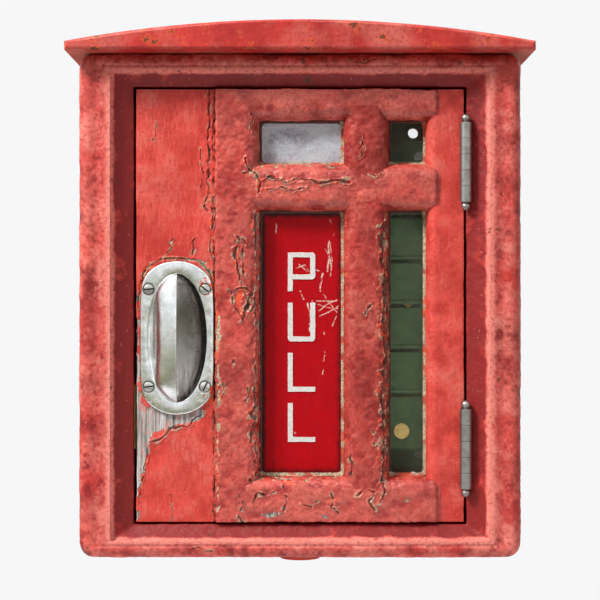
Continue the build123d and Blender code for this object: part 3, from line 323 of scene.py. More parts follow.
@dataclass(frozen=True)
class Weather:
    """How one painted piece has aged.

    lump, peel: heights of the slow waves and of the fine orange peel.
    chip_level: how high the noise has to be before a chip comes off; higher is less worn.
    fade: how chalky the paint is, from 0 to 1.
    """

    lump: float = 0.35
    lump_size: float | tuple[float, float, float] = 13.0
    peel: float = 0.13
    peel_size: float | tuple[float, float, float] = 2.4
    chip_level: float = 1.0
    fade: float = 0.5
    seed: int = 11
    flakes: tuple[Flake | Seam, ...] = ()
    cracks: tuple[Crack, ...] = ()
    behind: float = 112.0

    def age(self, x: Array, depth: Array, z: Array) -> tuple[Array, dict[str, Array]]:
        """Works out the height, the colour masks of old paint, and a relief mask for painted highlight and
        shade, at points of a surface.

        The height is slow noise plus fine noise, less a step where a chip has gone and a groove along each
        crack, plus a small ridge on both sides of a crack. A chip is gone where noise plus nearby flakes'
        bell curves is over the chip level.

        Args:
            x, depth, z: Places in millimetres, all of one shape.

        Returns:
            The height in millimetres, and a mask from 0 to 1 for each name that the paint's material reads.
        """
        shape = x.shape
        x, depth, z = x.reshape(-1), depth.reshape(-1), z.reshape(-1)
        places = np.stack([x, depth, z], -1)
        height = self.lump * cloud(places, self.lump_size, 2, self.seed)
        height += self.peel * cloud(places, self.peel_size, 2, self.seed + 5)
        wander_x = 1.5 * cloud(places, 5.0, 3, self.seed + 9)
        wander_z = 1.5 * cloud(places, 5.0, 3, self.seed + 13)
        torn = cloud(places, 6.5, 4, self.seed + 21)
        weathered = ease(depth, self.behind, self.behind + 8)
        masks = {"under": np.zeros(len(x)), "bare": np.zeros(len(x)), "cream": np.zeros(len(x))}
        for shows in Shows:
            bias = np.zeros(len(x))
            for flake in self.flakes:
                if flake.shows is shows:
                    bias += flake.bias(x + wander_x, z + wander_z)
            level = self.chip_level if shows is Shows.UNDERCOAT else 1.0
            masks[shows.value] = ease(torn * 0.55 + bias * weathered, level, level + 0.07)
        gone = np.maximum.reduce(list(masks.values()))
        edge = 4.0 * gone * (1.0 - gone)
        height -= 0.60 * gone - 0.35 * edge
        # The paint's material turns this relief into painted highlight on bumps and painted shade in hollows.
        relief = np.clip(height / (self.lump + self.peel), -1.0, 1.0)
        crack = np.zeros(len(x))
        swell = np.clip(0.95 + 0.9 * cloud(places, 4.5, 2, self.seed + 27), 0.35, 1.9)
        beside = np.zeros(len(x))
        for line in self.cracks:
            away = distance_to_path(x + wander_x * 0.9, z + wander_z * 0.6, line.path)
            width = line.width * swell
            groove = weathered * np.exp(-((away / width) ** 2))
            height -= line.depth * groove * swell
            height += line.lip * weathered * np.exp(-(((away - 2.2 * width) / width) ** 2))
            crack = np.maximum(crack, groove)
            near = weathered * np.exp(-(((away - 2.0 * width) / (1.3 * width)) ** 2))
            beside = np.maximum(beside, near * min(1.0, line.lip * 2))
        pale = beside * ease(cloud(places, 3.2, 2, self.seed + 37), 0.15, 0.3)
        masks["cream"] = np.maximum(masks["cream"], 0.8 * pale)
        rich = beside * ease(cloud(places, 4.0, 2, self.seed + 39), 0.15, 0.3)
        masks["under"] = np.maximum(masks["under"], rich)
        masks["crack"] = np.clip(crack + 0.8 * edge, 0.0, 1.0)
        masks["relief"] = relief * (1.0 - gone)
        masks["tone"] = np.clip(self.fade + 0.35 * cloud(places, 24.0, 4, self.seed + 31), 0.0, 1.0)
        return height.reshape(shape), {name: mask.reshape(shape) for name, mask in masks.items()}


def dress_attributes(piece: bpy.types.Object, masks: dict[str, Array]) -> None:
    """Stores every mask on the piece."""
    for name, mask in masks.items():
        paint_attribute(piece, name, mask)


# --- finishes -------------------------------------------------------------------------------
class Nodes:
    """A material's node tree with short ways to add the nodes that the finishes share."""

    def __init__(self, name: str) -> None:
        """Starts an empty material with one Principled shader."""
        self.material = bpy.data.materials.new(name)
        self.material.use_nodes = True
        self.tree = self.material.node_tree
        self.tree.nodes.clear()
        output = self.tree.nodes.new("ShaderNodeOutputMaterial")
        self.shader = self.tree.nodes.new("ShaderNodeBsdfPrincipled")
        self.tree.links.new(self.shader.outputs[0], output.inputs["Surface"])
        self.place = self.tree.nodes.new("ShaderNodeTexCoord").outputs["Object"]

    def link(self, source: Source, target: Socket) -> None:
        """Joins an output to an input, or sets the input where the source is a plain value."""
        if isinstance(source, bpy.types.NodeSocket):
            self.tree.links.new(source, target)
        elif isinstance(source, tuple) and len(source) == 3 and len(target.default_value) == 4:
            target.default_value = (*source, 1.0)
        else:
            target.default_value = source

    def scaled(self, scale: Sequence[float]) -> Socket:
        """Object coordinates stretched by a factor on each axis."""
        node = self.tree.nodes.new("ShaderNodeMapping")
        node.inputs["Scale"].default_value = scale
        self.tree.links.new(self.place, node.inputs["Vector"])
        return node.outputs[0]

    def noise(
        self,
        size_mm: float,
        detail: float = 4.0,
        rough: float = 0.55,
        vector: Socket | None = None,
        twist: float = 0.0,
    ) -> Socket:
        """Noise with grains of about size_mm, from 0 to 1."""
        node = self.tree.nodes.new("ShaderNodeTexNoise")
        node.inputs["Scale"].default_value = MM_PER_M / size_mm
        node.inputs["Detail"].default_value = detail
        node.inputs["Roughness"].default_value = rough
        node.inputs["Distortion"].default_value = twist
        self.tree.links.new(vector or self.place, node.inputs["Vector"])
        return node.outputs[0]

    def attribute(self, name: str) -> Socket:
        """One of the piece's own masks."""
        node = self.tree.nodes.new("ShaderNodeAttribute")
        node.attribute_name = name
        return node.outputs["Fac"]

    def ramp(self, value: Source, stops: Sequence[tuple[float, Colour]]) -> Socket:
        """A colour from a value, through colour stops."""
        node = self.tree.nodes.new("ShaderNodeValToRGB")
        while len(node.color_ramp.elements) < len(stops):
            node.color_ramp.elements.new(0.5)
        for element, (at, colour) in zip(node.color_ramp.elements, stops):
            element.position = at
            element.color = (*colour, 1.0)
        self.link(value, node.inputs[0])
        return node.outputs[0]

    def levels(
        self, value: Source, low: float, high: float, out_low: float = 0.0, out_high: float = 1.0
    ) -> Socket:
        """Maps low..high to out_low..out_high, and clamps."""
        node = self.tree.nodes.new("ShaderNodeMapRange")
        node.clamp = True
        ends = (("From Min", low), ("From Max", high), ("To Min", out_low), ("To Max", out_high))
        for name, number in ends:
            node.inputs[name].default_value = number
        self.link(value, node.inputs["Value"])
        return node.outputs[0]

    def math(self, kind: str, a: Source, b: Source = 0.0) -> Socket:
        """Arithmetic on one or two values."""
        node = self.tree.nodes.new("ShaderNodeMath")
        node.operation = kind
        self.link(a, node.inputs[0])
        self.link(b, node.inputs[1])
        return node.outputs[0]

    def mix(self, share: Source, first: Source, second: Source) -> Socket:
        """Blends two colours by a share of the second."""
        node = self.tree.nodes.new("ShaderNodeMix")
        node.data_type = "RGBA"
        self.link(share, node.inputs[0])
        self.link(first, node.inputs[6])
        self.link(second, node.inputs[7])
        return node.outputs[2]

    def bump(
        self, height: Source, distance_mm: float, strength: float = 1.0, below: Socket | None = None
    ) -> Socket:
        """Roughens the shading by a height, over another bump if one is given."""
        node = self.tree.nodes.new("ShaderNodeBump")
        node.inputs["Distance"].default_value = distance_mm * MM
        node.inputs["Strength"].default_value = strength
        self.link(height, node.inputs["Height"])
        if below is not None:
            self.tree.links.new(below, node.inputs["Normal"])
        return node.outputs[0]

    def set(self, name: str, value: Source) -> None:
        """Sets or links one of the shader's inputs."""
        self.link(value, self.shader.inputs[name])


@dataclass(frozen=True)
class OldPaint:
    """Red gloss gone chalky over an orange undercoat, cream coats and grey timber or iron."""

    name: str
    deep: Colour = (0.46, 0.022, 0.017)
    bright: Colour = (0.74, 0.062, 0.042)
    # The chalky colour, also used to paint highlights on bumps and ridges.
    chalk: Colour = (0.74, 0.16, 0.125)
    undercoat: Colour = (0.84, 0.11, 0.03)
    cream: Colour = (0.66, 0.52, 0.34)
    timber: Colour = (0.60, 0.57, 0.54)
    timber_dark: Colour = (0.10, 0.080, 0.065)
    # The colour of dirt specks and cracks, which also paints the shadow on the putty.
    dirt: Colour = (0.035, 0.016, 0.012)
    roughness: float = 0.44
    mottle: tuple[float, float] = (0.36, 0.66)
    rust: float = 0.0
    patchy: float = 0.0
    brush: float = 0.0
    gloss: float = 0.30

    def coats(self, n: Nodes, fine: Socket) -> Socket:
        """The red coat: deeper in hollows as painted shade, bright on flats, paler on bumps as painted
        highlight and chalking, and dotted with dirt.
        """
        paint = n.mix(n.levels(n.noise(26, 5), *self.mottle), self.deep, self.bright)
        if self.brush:
            streak = n.noise(1.5, 5, 0.65, n.scaled((1.0, 1.0, 0.045)), 0.2)
            paint = n.mix(n.levels(streak, 0.50, 0.72, 0.0, self.brush), paint, self.chalk)
            paint = n.mix(n.levels(streak, 0.30, 0.45, self.brush, 0.0), paint, self.deep)
        tone = n.attribute("tone")
        if self.patchy:
            tone = n.math("MAXIMUM", tone, n.levels(n.noise(38, 5, 0.6), 0.44, 0.66, 0.0, self.patchy))
        faded = n.math("MULTIPLY", tone, n.levels(fine, 0.30, 0.70, 0.35, 1.0))
        paint = n.mix(faded, paint, self.chalk)
        relief = n.attribute("relief")
        # Painted highlight and shade from the relief: bumps are paled towards the chalky colour, part
        # chalking and part highlight, and hollows are deepened as shade.
        paint = n.mix(n.levels(relief, 0.10, 0.75, 0.0, 0.55), paint, self.chalk)
        paint = n.mix(n.levels(relief, -0.70, -0.05, 0.90, 0.0), paint, self.deep)
        paint = n.mix(n.levels(fine, 0.30, 0.48, 0.55, 0.0), paint, self.deep)
        speck = n.levels(n.noise(1.4, 3, 0.6), 0.63, 0.70, 0.0, 0.65)
        paint = n.mix(speck, paint, self.dirt)
        pale = n.levels(n.noise(1.9, 3, 0.6, n.scaled((1.0, 1.0, 0.7))), 0.68, 0.74, 0.0, 0.6)
        return n.mix(pale, paint, (0.80, 0.36, 0.28))

    def wood(self, n: Nodes, grain: Socket) -> Socket:
        """Silvered timber: long grain with dark checks, and pink traces of paint left in it."""
        wood = n.ramp(grain, ((0.30, self.timber_dark), (0.45, (0.30, 0.27, 0.24)), (0.56, self.timber),
                              (0.75, (0.80, 0.78, 0.76))))
        checks = n.noise(2.2, 3, 0.5, n.scaled((1.0, 1.0, 0.03)), 0.3)
        wood = n.mix(n.levels(checks, 0.36, 0.43, 0.95, 0.0), wood, self.timber_dark)
        stain = n.levels(n.noise(3.6, 5, 0.65, n.scaled((1.0, 1.0, 0.5))), 0.53, 0.62, 0.0, 0.8)
        return n.mix(stain, wood, (0.66, 0.22, 0.20))

    def build(self) -> bpy.types.Material:
        """Lays the coats over one another by the piece's masks, and roughens them with fine noise."""
        n = Nodes(self.name)
        fine, tiny = n.noise(3.0, 5, 0.62), n.noise(0.9, 3)
        paint = self.coats(n, fine)
        if self.rust:
            low, high = (0.60, 0.62) if self.patchy else (0.63, 0.655)
            patch = n.levels(n.noise(17, 8, 0.74), low, high, 0.0, self.rust)
            if self.patchy:
                halo = n.levels(n.noise(17, 8, 0.74), low - 0.03, low, 0.0, 0.8)
                paint = n.mix(halo, paint, self.undercoat)
            rust = n.mix(n.levels(fine, 0.35, 0.65), (0.15, 0.045, 0.018), (0.045, 0.020, 0.012))
            paint = n.mix(patch, paint, rust)
        under = n.mix(n.levels(fine, 0.3, 0.7), self.undercoat, self.bright)
        paint = n.mix(n.attribute("under"), paint, under)
        cream = n.mix(n.levels(n.noise(1.5, 4, 0.65), 0.38, 0.62), self.cream, (0.20, 0.15, 0.10))
        paint = n.mix(n.attribute("cream"), paint, cream)
        grain = n.noise(1.3, 6, 0.72, n.scaled((1.0, 1.0, 0.035)))
        bare = n.attribute("bare")
        paint = n.mix(bare, paint, self.wood(n, grain))
        dark = n.math("MULTIPLY", n.attribute("crack"), n.levels(tiny, 0.2, 0.6, 0.6, 1.0))
        paint = n.mix(dark, paint, self.dirt)
        n.set("Base Color", paint)
        rough = n.levels(fine, 0.2, 0.8, self.roughness - 0.12, self.roughness + 0.18)
        n.set("Roughness", n.math("MAXIMUM", rough, n.math("MULTIPLY", bare, 0.9)))
        n.shader.inputs["Specular IOR Level"].default_value = self.gloss
        skin = n.bump(fine, 0.55, 0.7)
        n.set("Normal", n.bump(n.math("MULTIPLY", grain, bare), 0.7, 1.0, n.bump(tiny, 0.16, 0.6, skin)))
        return n.material


@dataclass(frozen=True)
class Enamel:
    """Smooth paint on metal, with faint mottling, fine scratches and small worn specks."""

    name: str
    colour: Colour
    dark: Colour
    roughness: float = 0.22
    wear: float = 0.15
    mottle: float = 6.0

    def build(self) -> bpy.types.Material:
        """Mixes the dark tone in by slow noise and adds small worn specks."""
        n = Nodes(self.name)
        slow, fine = n.noise(self.mottle, 5, 0.6), n.noise(1.2, 4)
        paint = n.mix(n.levels(slow, 0.35, 0.75), self.colour, self.dark)
        speck = n.math("MULTIPLY", n.levels(n.noise(2.2, 5, 0.7), 0.66, 0.70), self.wear)
        paint = n.mix(speck, paint, (0.30, 0.26, 0.20))
        n.set("Base Color", paint)
        n.set("Roughness", n.levels(fine, 0.2, 0.8, self.roughness - 0.05, self.roughness + 0.15))
        n.set("Normal", n.bump(fine, 0.10, 0.4, n.bump(slow, 0.5, 0.25)))
        return n.material


@dataclass(frozen=True)
class ScratchedEnamel:
    """Deep red enamel, darker towards its edges as painted shade, with faded streaks and scratches down to
    the primer.
    """

    name: str
    colour: Colour = (0.47, 0.003, 0.007)
    # The near-black colour of the painted shade and shadow along the plate's edges.
    edge_shade: Colour = (0.030, 0.003, 0.005)
    primer: Colour = (0.80, 0.62, 0.52)

    def build(self) -> bpy.types.Material:
        """Darkens by the edge mask, which is painted shade and shadow, and lightens by the scratch mask."""
        n = Nodes(self.name)
        scratched = n.attribute("scratch")
        slow, fine = n.noise(16, 5, 0.6), n.noise(1.0, 4)
        streak = n.noise(2.0, 4, 0.6, n.scaled((1.0, 1.0, 0.12)))
        paint = n.mix(n.levels(slow, 0.3, 0.75, 0.0, 0.6), self.colour, (0.33, 0.003, 0.010))
        paint = n.mix(n.levels(streak, 0.55, 0.8, 0.0, 0.35), paint, (0.55, 0.015, 0.018))
        paint = n.mix(n.attribute("edge"), paint, self.edge_shade)
        speck = n.levels(n.noise(0.9, 3, 0.6), 0.71, 0.76, 0.0, 0.7)
        paint = n.mix(speck, paint, (0.62, 0.16, 0.12))
        paint = n.mix(scratched, paint, self.primer)
        n.set("Base Color", paint)
        n.shader.inputs["Specular IOR Level"].default_value = 0.10
        shine = n.levels(fine, 0.3, 0.8, 0.20, 0.36)
        n.set("Roughness", n.math("MAXIMUM", shine, n.math("MULTIPLY", scratched, 0.8)))
        n.set("Normal", n.bump(scratched, -0.15, 0.6, n.bump(slow, 1.2, 0.25)))
        return n.material


@dataclass(frozen=True)
class WornMetal:
    """Bare metal dulled by handling: smudges, fine scratches along one way, and dirt in patches."""

    name: str
    colour: Colour
    dull: Colour
    roughness: float = 0.2
    grain: tuple[float, float, float] = (1.0, 1.0, 1.0)
    grain_size: float = 1.2
    # The colour of dirt patches, also used for the darkened rims, screw rings and screw slots.
    dirt: Colour = (0.10, 0.09, 0.06)
    dirt_share: float = 0.25

    def build(self) -> bpy.types.Material:
        """Varies colour and roughness by smudges, and bumps the surface with stretched scratches."""
        n = Nodes(self.name)
        n.shader.inputs["Metallic"].default_value = 1.0
        smudge = n.noise(9.0, 5, 0.62, twist=0.6)
        scratch = n.noise(self.grain_size, 5, 0.65, n.scaled(self.grain))
        metal = n.mix(n.levels(smudge, 0.35, 0.7), self.colour, self.dull)
        metal = n.mix(n.levels(scratch, 0.35, 0.6, 0.35, 0.0), metal, self.dull)
        darkening = n.levels(n.noise(4.0, 6, 0.7), 0.56, 0.72, 0.0, self.dirt_share)
        # The piece's own darkening: rims, rings round the screws and screw slots.
        darkening = n.math("MAXIMUM", darkening, n.math("MULTIPLY", n.attribute("darkening"), 0.92))
        metal = n.mix(darkening, metal, self.dirt)
        metal = n.mix(n.attribute("flecks"), metal, (0.72, 0.10, 0.05))
        # This patch is made pale and rough: finger polish, and also a painted highlight that catches the key
        # lamp as a glow.
        polish_and_highlight = n.attribute("polish_and_highlight")
        metal = n.mix(polish_and_highlight, metal, (0.93, 0.88, 0.84))
        n.set("Base Color", metal)
        rough = n.levels(smudge, 0.3, 0.75, self.roughness, self.roughness + 0.16)
        rough = n.math("MAXIMUM", rough, n.math("MULTIPLY", polish_and_highlight, 0.52))
        n.set("Roughness", n.math("MAXIMUM", rough, n.math("MULTIPLY", darkening, 1.6)))
        n.set("Normal", n.bump(scratch, 0.05, 0.5, n.bump(smudge, 0.5, 0.12)))
        return n.material


@dataclass(frozen=True)
class Glazing:
    """Old glass: clear and slightly dirty, or white flashed glass with clouded patches."""

    name: str
    white: bool = False

    def build(self) -> bpy.types.Material:
        """Clear glass is a thin alpha skin with gloss; white glass is glossy and softly clouded."""
        n = Nodes(self.name)
        film = n.noise(14, 6, 0.65, twist=0.8)
        if self.white:
            cloudy = n.levels(n.noise(20, 7, 0.68, n.scaled((0.6, 1.0, 1.4)), 0.5), 0.42, 0.64)
            tint = n.mix(cloudy, (0.50, 0.56, 0.61), (0.25, 0.24, 0.30))
            tint = n.mix(n.levels(n.noise(2.0, 4, 0.6), 0.40, 0.60, 0.0, 0.35), tint, (0.72, 0.75, 0.78))
            split = n.tree.nodes.new("ShaderNodeSeparateXYZ")
            n.link(n.place, split.inputs[0])
            low = n.math("ADD", split.outputs["Z"], n.math("MULTIPLY", n.noise(3.0, 5, 0.7), 0.008))
            moss = n.levels(low, 0.1165, 0.1215, 0.95, 0.0)
            tint = n.mix(moss, tint, (0.16, 0.145, 0.05))
            n.set("Base Color", tint)
            n.shader.inputs["Subsurface Weight"].default_value = 0.0
            n.set("Roughness", n.levels(film, 0.3, 0.7, 0.08, 0.3))
            n.set("Normal", n.bump(film, 0.6, 0.2))
            return n.material
        n.set("Base Color", n.mix(n.levels(film, 0.4, 0.7), (0.30, 0.42, 0.27), (0.26, 0.24, 0.16)))
        n.set("Alpha", n.levels(film, 0.35, 0.75, 0.04, 0.14))
        n.shader.inputs["Specular IOR Level"].default_value = 0.25
        n.set("Roughness", n.levels(film, 0.3, 0.7, 0.03, 0.15))
        n.set("Normal", n.bump(film, 0.5, 0.1))
        return n.material


@dataclass(frozen=True)
class Plain:
    """A non-metal with mottled colour: timber, porcelain, moulding or felt."""

    name: str
    colour: Colour
    dark: Colour
    roughness: float = 0.5
    size: float = 3.0
    stretch: tuple[float, float, float] = (1.0, 1.0, 1.0)
    bump_mm: float = 0.1
    sheen: float = 0.0

    def build(self) -> bpy.types.Material:
        """Mixes two tones by noise stretched along the grain."""
        n = Nodes(self.name)
        grain = n.noise(self.size, 6, 0.62, n.scaled(self.stretch), 0.4)
        n.set("Base Color", n.mix(n.levels(grain, 0.32, 0.7), self.colour, self.dark))
        n.set("Roughness", n.levels(grain, 0.2, 0.8, self.roughness - 0.08, self.roughness + 0.12))
        n.shader.inputs["Sheen Weight"].default_value = self.sheen
        n.set("Normal", n.bump(grain, self.bump_mm, 0.6))
        return n.material


class Finishes:
    """Every finish of the box, made once and shared."""

    def __init__(self) -> None:
        """Builds all the materials."""
        self.timber_paint = OldPaint(
            "old_red_paint_timber",
            bright=(0.74, 0.068, 0.052),
            deep=(0.50, 0.036, 0.026),
            mottle=(0.30, 0.66),
            brush=0.40,
        ).build()
        self.bar_paint = OldPaint(
            "old_red_paint_bars",
            deep=(0.30, 0.014, 0.011),
            bright=(0.60, 0.046, 0.034),
            chalk=(0.68, 0.145, 0.105),
            roughness=0.36,
            gloss=0.55,
        ).build()
        self.iron_paint = OldPaint(
            "old_red_paint_iron",
            deep=(0.22, 0.010, 0.010),
            bright=(0.58, 0.040, 0.032),
            chalk=(0.88, 0.27, 0.215),
            mottle=(0.15, 0.60),
            rust=0.9,
        ).build()
        self.casing_paint = OldPaint(
            "old_red_paint_casing",
            deep=(0.34, 0.016, 0.013),
            bright=(0.58, 0.040, 0.032),
            chalk=(0.72, 0.20, 0.155),
            mottle=(0.30, 0.66),
            rust=0.95,
            patchy=0.75,
        ).build()
        # A darker copy of the bar paint: painted shade for the middle bar.
        self.shaded_paint = OldPaint(
            "old_red_paint_shaded", deep=(0.24, 0.012, 0.010), bright=(0.46, 0.036, 0.028),
            chalk=(0.56, 0.12, 0.09)
        ).build()
        self.putty = OldPaint(
            "old_putty", deep=(0.30, 0.03, 0.02), bright=(0.45, 0.06, 0.03), chalk=(0.5, 0.2, 0.12)
        ).build()
        self.plate = ScratchedEnamel("crimson_plate").build()
        self.letters = Plain("letter_white", (0.80, 0.78, 0.74), (0.60, 0.56, 0.53), 0.35, 2.0).build()
        self.steel = WornMetal("worn_pull_steel", (0.80, 0.81, 0.82), (0.52, 0.54, 0.54), 0.17,
                               (1.0, 1.0, 0.25), 1.0, (0.16, 0.17, 0.10), 0.30).build()
        self.cup_steel = WornMetal("cup_steel", (0.66, 0.64, 0.62), (0.40, 0.37, 0.35), 0.16,
                                   (1.0, 1.0, 0.3), 1.0, (0.10, 0.07, 0.06), 0.3).build()
        self.screw_steel = WornMetal("screw_steel", (0.60, 0.60, 0.58), (0.30, 0.29, 0.27), 0.3,
                                     dirt=(0.05, 0.045, 0.04), dirt_share=0.7).build()
        self.dark_steel = WornMetal("dark_steel", (0.33, 0.33, 0.33), (0.20, 0.18, 0.16), 0.38,
                                    dirt=(0.16, 0.06, 0.03), dirt_share=0.5).build()
        self.spring_steel = WornMetal("spring_steel", (0.34, 0.37, 0.44), (0.24, 0.24, 0.26), 0.25).build()
        self.brass = WornMetal("lacquered_brass", (0.78, 0.55, 0.22), (0.52, 0.34, 0.12), 0.22,
                               (0.3, 1.0, 1.0), 1.0, (0.20, 0.13, 0.05), 0.35).build()
        self.bell = WornMetal("bell_metal", (0.72, 0.55, 0.30), (0.50, 0.36, 0.18), 0.2,
                              dirt=(0.16, 0.12, 0.06)).build()
        self.green = Enamel("green_enamel", (0.115, 0.265, 0.085), (0.050, 0.125, 0.040), 0.40, 0.9,
                            14.0).build()
        self.black = Enamel("black_moulding", (0.020, 0.020, 0.021), (0.012, 0.012, 0.012), 0.25, 0.1).build()
        self.clear_glass = Glazing("clear_glass").build()
        self.opal_glass = Glazing("white_glass", white=True).build()
        self.porcelain = Plain("porcelain", (0.78, 0.76, 0.70), (0.60, 0.57, 0.50), 0.2, 5.0,
                               bump_mm=0.05).build()
        self.bead_timber = Plain("bead_timber", (0.36, 0.20, 0.10), (0.20, 0.10, 0.05), 0.55, 2.0,
                                 (1.0, 1.0, 0.1), 0.2).build()
        self.felt = Plain("black_felt", (0.035, 0.035, 0.038), (0.015, 0.015, 0.015), 0.95, 0.8,
                          bump_mm=0.3, sheen=0.3).build()


# --- the frame's numbers --------------------------------------------------------------------
@dataclass(frozen=True)
class Room:
    """The space that a CAD node takes up, in millimetres: x, z, and depth out from the wall."""

    x: Point
    depth: Point
    z: Point

    @classmethod
    def of(cls, node: str) -> "Room":
        """Reads a node's box."""
        low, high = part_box(node)
        return cls((low.x / MM, high.x / MM), (-high.y / MM, -low.y / MM), (low.z / MM, high.z / MM))

    @property
    def middle(self) -> Point:
        """The middle in x and z."""
        return (self.x[0] + self.x[1]) / 2, (self.z[0] + self.z[1]) / 2


class Assembly:
    """A group of pieces that share a body, with the steps that all groups use."""

    body = "root"

    def __init__(self, finishes: Finishes) -> None:
        """Keeps the shared finishes."""
        self.finishes = finishes

    def place(self, piece: bpy.types.Object, material: bpy.types.Material, slot: str, *nodes: str) -> None:
        """Dresses a piece, sets what it rides on, and says which CAD nodes it stands for."""
        piece.data.materials.append(material)
        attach(piece, self.body)
        if nodes:
            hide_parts(*nodes)
        LOG.info("%s: %d points on %s", piece.name, len(piece.data.vertices), self.body)

    def carry(
        self,
        name: str,
        section: Section,
        along: Array,
        upright: bool,
        weather: Weather,
        shape: Bend | None = None,
    ) -> bpy.types.Object:
        """Carries a section along a straight member and ages its skin.

        A point of the member is (along, outline point), moved outwards along the outline's normal by the
        height that Weather works out. The move fades out on the hidden back.

        Args:
            name: The piece's name.
            section: The outline, clockwise with depth up.
            along: Stations along the member in millimetres.
            upright: True where the length is z and the outline is in x; False where the length is x.
            weather: How the paint has aged.
            shape: Optional change to (x, depth, z) after ageing.

        Returns:
            The piece, with its masks.
        """
        outline, normal = section.points()
        stations = along if upright else along[::-1]
        length = np.repeat(stations[:, None], len(outline), 1)
        across = np.repeat(outline[None, :, 0], len(stations), 0)
        depth = np.repeat(outline[None, :, 1], len(stations), 0)
        x, z = (across, length) if upright else (length, across)
        height, masks = weather.age(x, depth, z)
        height = height * ease(depth, section.fine_from - 2, section.fine_from + 3)
        across = across + normal[None, :, 0] * height
        depth = depth + normal[None, :, 1] * height
        x, z = (across, length) if upright else (length, across)
        if shape is not None:
            x, depth, z = shape(x, depth, z)
        count = len(outline)
        first = np.arange(count)[::-1]
        last = np.arange(count) + (len(stations) - 1) * count
        quads = quads_of_grid(len(stations), count, False, True)
        piece = new_mesh(name, to_metres(x, depth, z), quads, (first, last))
        dress_attributes(piece, masks)
        return piece


def stations(low: float, high: float, pitch: float) -> Array:
    """Evenly spaced values from low to high, about a pitch apart."""
    return np.linspace(low, high, int(round((high - low) / pitch)) + 1)


@dataclass(frozen=True)
class Knuckles:
    """The room that the hinge knuckles and leaves need in the timber and iron beside them."""

    x: float
    depth: float
    heights: tuple[float, ...]
    half_length: float = 37.5
    radius: float = 5.8
    leaf_half: float = 32.6
    leaf_back: float = 110.0

    def scoop(self, leaf_side: float, leaf_x: float) -> Bend:
        """Makes a change of shape that cuts a round groove for the knuckles and a shallow bed for each leaf.

        Args:
            leaf_side: The way in to the material, 1 for the frame and -1 for the door.
            leaf_x: How far over the bed goes.

        Returns:
            A function that moves points nearer to the hinge's axis than the radius out to that radius.
        """

        def change(x: Array, depth: Array, z: Array) -> tuple[Array, Array, Array]:
            """Moves points onto the leaf's bed and out of the knuckles' groove."""
            for height in self.heights:
                bed = (np.abs(z - height) < self.leaf_half) & (depth > self.leaf_back)
                bed &= ((leaf_x - x) * leaf_side > 0) & (np.abs(x - self.x) < 8)
                x = np.where(bed, leaf_x, x)
                dx, dd = x - self.x, depth - self.depth
                away = np.maximum(np.hypot(dx, dd), 1e-6)
                inside = (np.abs(z - height) < self.half_length) & (away < self.radius)
                x = np.where(inside, self.x + dx * self.radius / away, x)
                depth = np.where(inside, self.depth + dd * self.radius / away, depth)
            return x, depth, z

        return change


# --- door -----------------------------------------------------------------------------------
@dataclass
class DoorSizes:
    """The few sizes of the door's joinery that its nodes' boxes don't give."""

    ovolo: float = 11.0
    hinge_ovolo: float = 9.0
    rebate: float = 6.5
    pane_front: float = 125.0
    fine: float = 0.7


def round_pull(reach: float) -> tuple[Point, ...]:
    """A ring of points round the pull's plate: an oval whose power makes its sides nearly straight."""
    angle = np.linspace(0, 2 * math.pi, 33)
    c, s = np.cos(angle), np.sin(angle)
    x = PULL_CENTRE[0] + (PULL_HALF[0] + reach) * np.sign(c) * np.abs(c) ** 0.55
    z = PULL_CENTRE[1] + (PULL_HALF[1] + reach) * np.sign(s) * np.abs(s) ** 0.62
    return tuple(zip(x.tolist(), z.tolist()))


STILE_FLAKES = (
    Flake(-132.0, -30, 4.0, 62, 1.25, Shows.TIMBER),
    Flake(-133.5, -130, 6.5, 60, 1.6, Shows.TIMBER),
    Flake(-131.0, -116, 8.5, 20, 1.3, Shows.TIMBER),
    Flake(-127.0, -92, 12.0, 12, 1.6, Shows.TIMBER),
    Flake(-114.0, -91, 16.0, 10, 1.6, Shows.TIMBER),
    Flake(-95.0, -89, 14.0, 8, 1.6, Shows.TIMBER),
    Flake(-83.0, -86, 8.0, 6, 1.4, Shows.TIMBER),
    Flake(-126.0, -108, 7.0, 14, 1.3, Shows.TIMBER),
    Flake(-76.5, 79, 2.4, 4, 1.15, Shows.CREAM),
    Flake(-73.8, 122, 1.7, 9, 1.1, Shows.CREAM),
    Flake(-74.6, 104, 1.5, 6, 1.0, Shows.CREAM),
    Flake(-76.0, 36, 2.6, 5.5, 1.25, Shows.CREAM),
    Flake(-70.0, -14, 1.5, 12, 0.9, Shows.CREAM),
    Flake(-70.0, -150, 1.5, 18, 0.85, Shows.CREAM),
    Flake(-121.0, 28, 7.0, 7, 0.7),
    Flake(-72.5, -60, 3.5, 34, 0.62),
    Flake(-128.5, 10, 3.0, 20, 0.8),
    Flake(-118.0, -118, 9.0, 9, 0.45),
    Seam(round_pull(1.2), 2.6, 0.98),
    Seam(round_pull(1.6), 1.7, 0.86, Shows.CREAM),
    Seam(((-92.0, 37.5), (-80.0, 36.0), (-72.5, 27.0)), 2.0, 0.8, Shows.CREAM),
    Seam(((-69.0, 60), (-69.5, -30), (-69.0, -174)), 2.2, 1.02),
)
